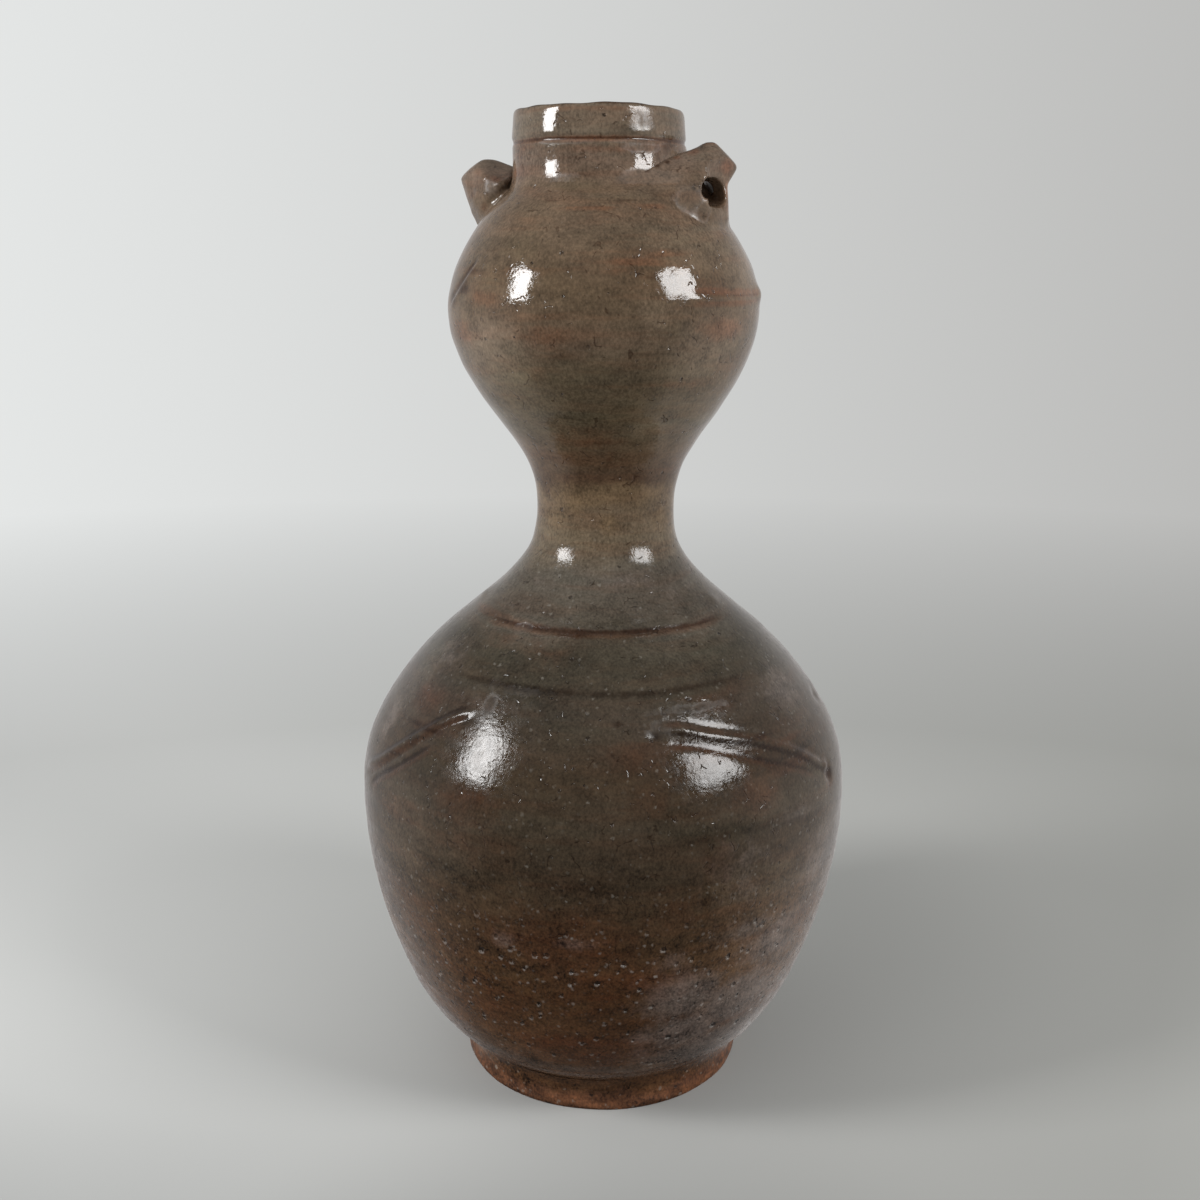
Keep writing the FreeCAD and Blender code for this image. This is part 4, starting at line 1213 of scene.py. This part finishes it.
ear = {                         # what both have
    "mouthTurn": 60.0,          # degrees that the mouth faces, from the ear's own side towards straight out
    "tunnel": [(-3.0, 1.18), (0.0, 1.0), (3.0, 0.86), (9.0, 0.62), (15.0, 0.45)],   # mm in, share of mouth
    "tunnelSag": 0.10,          # mm down for each mm in
    "crossing": (3.5, 0.6),     # mm in and share of the mouth where the way out begins
    "farRadius": 1.9,
    "farStub": 4,               # mm that the cutter passes the way out
    "voxel": 0.42 * mm,
    "root": {"turns": (-55, 40), "heights": (236.5, 251.3), "sink": 0.12 * mm, "depth": 1.8 * mm},
    "fillet": [(3.2, 14), (1.6, 26)],   # mm above the pot's skin and rounds of smoothing
    "filletFrom": -0.9,
    "dents": [(160, 0.154), (420, 0.056)],      # noise scale and mm
    "stretchFrom": 246 * mm,
    "stretchOver": 4,           # mm above the skin where the stretch is full
}


def hullInto(shape, points):
    verts = [shape.verts.new(Vector(p) * mm) for p in points]
    result = bmesh.ops.convex_hull(shape, input=verts)
    loose = [v for v in result["geom_interior"] + result["geom_unused"] if isinstance(v, bmesh.types.BMVert)]
    bmesh.ops.delete(shape, geom=list(set(loose)), context="VERTS")


def addVoxels(item):
    remesh = item.modifiers.new("voxels", "REMESH")
    remesh.mode = "VOXEL"
    remesh.voxel_size = ear["voxel"]


def finished(item, name):       # the mesh with its modifiers applied, as a shape to work on
    depsgraph = bpy.context.evaluated_depsgraph_get()
    mesh = bpy.data.meshes.new_from_object(item.evaluated_get(depsgraph), depsgraph=depsgraph)
    mesh.name = name
    shape = bmesh.new()
    shape.from_mesh(mesh)
    return shape


def potPatch(shape):            # a slab of the pot's own skin, which the ear grows from
    root = ear["root"]
    heights = np.linspace(*root["heights"], 40) * mm
    section = [inset(z, root["sink"]) for z in heights] + [inset(z, root["depth"]) for z in heights[::-1]]
    points = [shape.verts.new((r, 0, z)) for r, z in section]
    edges = [shape.edges.new(pair) for pair in zip(points, points[1:] + points[:1])]
    start, end = (math.radians(turn) for turn in root["turns"])
    bmesh.ops.rotate(shape, verts=points, cent=(0, 0, 0), matrix=Matrix.Rotation(start, 3, "Z"))
    faces = bmesh.ops.contextual_create(shape, geom=edges)["faces"]
    bmesh.ops.spin(shape, geom=faces, cent=(0, 0, 0), axis=(0, 0, 1), angle=end - start, steps=60)
    bmesh.ops.recalc_face_normals(shape, faces=shape.faces)


def softened(shape, verts, steps):
    for step in range(steps):
        bmesh.ops.smooth_vert(shape, verts=verts, factor=0.5,
                              use_axis_x=True, use_axis_y=True, use_axis_z=True)


def standingProud(shape):       # how far each point stands off the pot's skin, in mm
    turn, z, radius = polar(np.array([v.co for v in shape.verts]))
    return (radius - potCurve(z)) / leaning(z) / mm


def earSolid(plan, name):       # the blocks and the wing, melted together
    shape = bmesh.new()
    for block in plan["blocks"] + [plan["wing"]]:
        hullInto(shape, block)
    bmesh.ops.recalc_face_normals(shape, faces=shape.faces)
    rough = meshItem(name + "Rough", shape)
    addVoxels(rough)
    shape = finished(rough, name + "Body")
    softened(shape, shape.verts, plan["rounding"])
    return rough, meshItem(name + "Solid", shape)


def holeCutter(plan, name):
    turn = math.radians(ear["mouthTurn"])
    inward = Vector((-math.sin(turn), math.cos(turn), 0))
    ring = [Vector(p) for p in plan["mouth"]]
    centre = sum(ring, Vector()) / len(ring)
    rings = []
    for depth, size in ear["tunnel"]:
        sag = Vector((0, 0, -ear["tunnelSag"] * max(depth, 0)))
        rings.append([centre + (p - centre) * size + inward * depth + sag for p in ring])
    cutter = bmesh.new()
    for first, last in ((0, 2), (1, 4), (3, 5)):        # hulls of neighbouring rings follow the bend
        hullInto(cutter, [p for loop in rings[first:last] for p in loop])
    if plan["farEnd"]:
        depth, size = ear["crossing"]
        nearEnd, farEnd = centre + inward * depth, Vector(plan["farEnd"])
        way = (farEnd - nearEnd).normalized()
        turned = way.to_track_quat("Z", "Y")
        angles = np.linspace(0, 2 * math.pi, 13)[:-1]
        circle = [turned @ Vector((math.cos(a), math.sin(a), 0)) * ear["farRadius"] for a in angles]
        hullInto(cutter, [nearEnd + (p - centre) * size for p in ring]
                 + [farEnd + way * ear["farStub"] + p for p in circle])
    bmesh.ops.recalc_face_normals(cutter, faces=cutter.faces)
    hole = meshItem(name + "Hole", cutter)
    addVoxels(hole)
    return hole


def earShape(plan, name):       # the ear with its hole, grown on to the pot's skin
    rough, solid = earSolid(plan, name)
    hole = holeCutter(plan, name)
    cut = solid.modifiers.new("tunnel", "BOOLEAN")
    cut.operation = "DIFFERENCE"
    cut.object = hole
    cut.solver = "EXACT"
    shape = finished(solid, name + "Pierced")
    potPatch(shape)
    patched = meshItem(name + "Patched", shape)
    addVoxels(patched)
    shape = finished(patched, name)
    for extra in (rough, solid, hole, patched):
        bpy.data.objects.remove(extra)
    return shape


def makeEar(name, node, plan, halfTurn):
    shape = earShape(plan, name)
    softened(shape, shape.verts, 2)
    above = standingProud(shape)
    for reach, steps in ear["fillet"]:
        softened(shape, [v for v, high in zip(shape.verts, above) if ear["filletFrom"] < high < reach], steps)
    for vert in shape.verts:
        dent = sum(noise.noise(vert.co * scale) * deep for scale, deep in ear["dents"])
        vert.co += vert.normal * dent * mm
    if plan["stretch"]:
        out, tall = plan["stretch"]
        for vert, high in zip(shape.verts, standingProud(shape)):
            share = min(max(high / ear["stretchOver"], 0), 1)
            vert.co.z += (tall - 1) * share * max(vert.co.z - ear["stretchFrom"], 0)
            vert.co.xy *= 1 + (out - 1) * share
    if halfTurn:
        bmesh.ops.rotate(shape, verts=shape.verts, cent=(0, 0, 0), matrix=Matrix.Rotation(math.pi, 3, "Z"))
    item = meshPiece(name, shape, node, glaze)
    writePoints(item.data, handThrown(readPoints(item.data)))
    paintGlaze(item, plan["spots"])
    report(item)


makeFoot()
makeLowerBulb()
makeUpperBulb()
makeCollar()
makeEar("earRight", "ear_right", rightEar, False)
makeEar("earLeft", "ear_left", leftEar, True)
scene = bpy.context.scene
scene.view_settings.view_transform = "Standard"
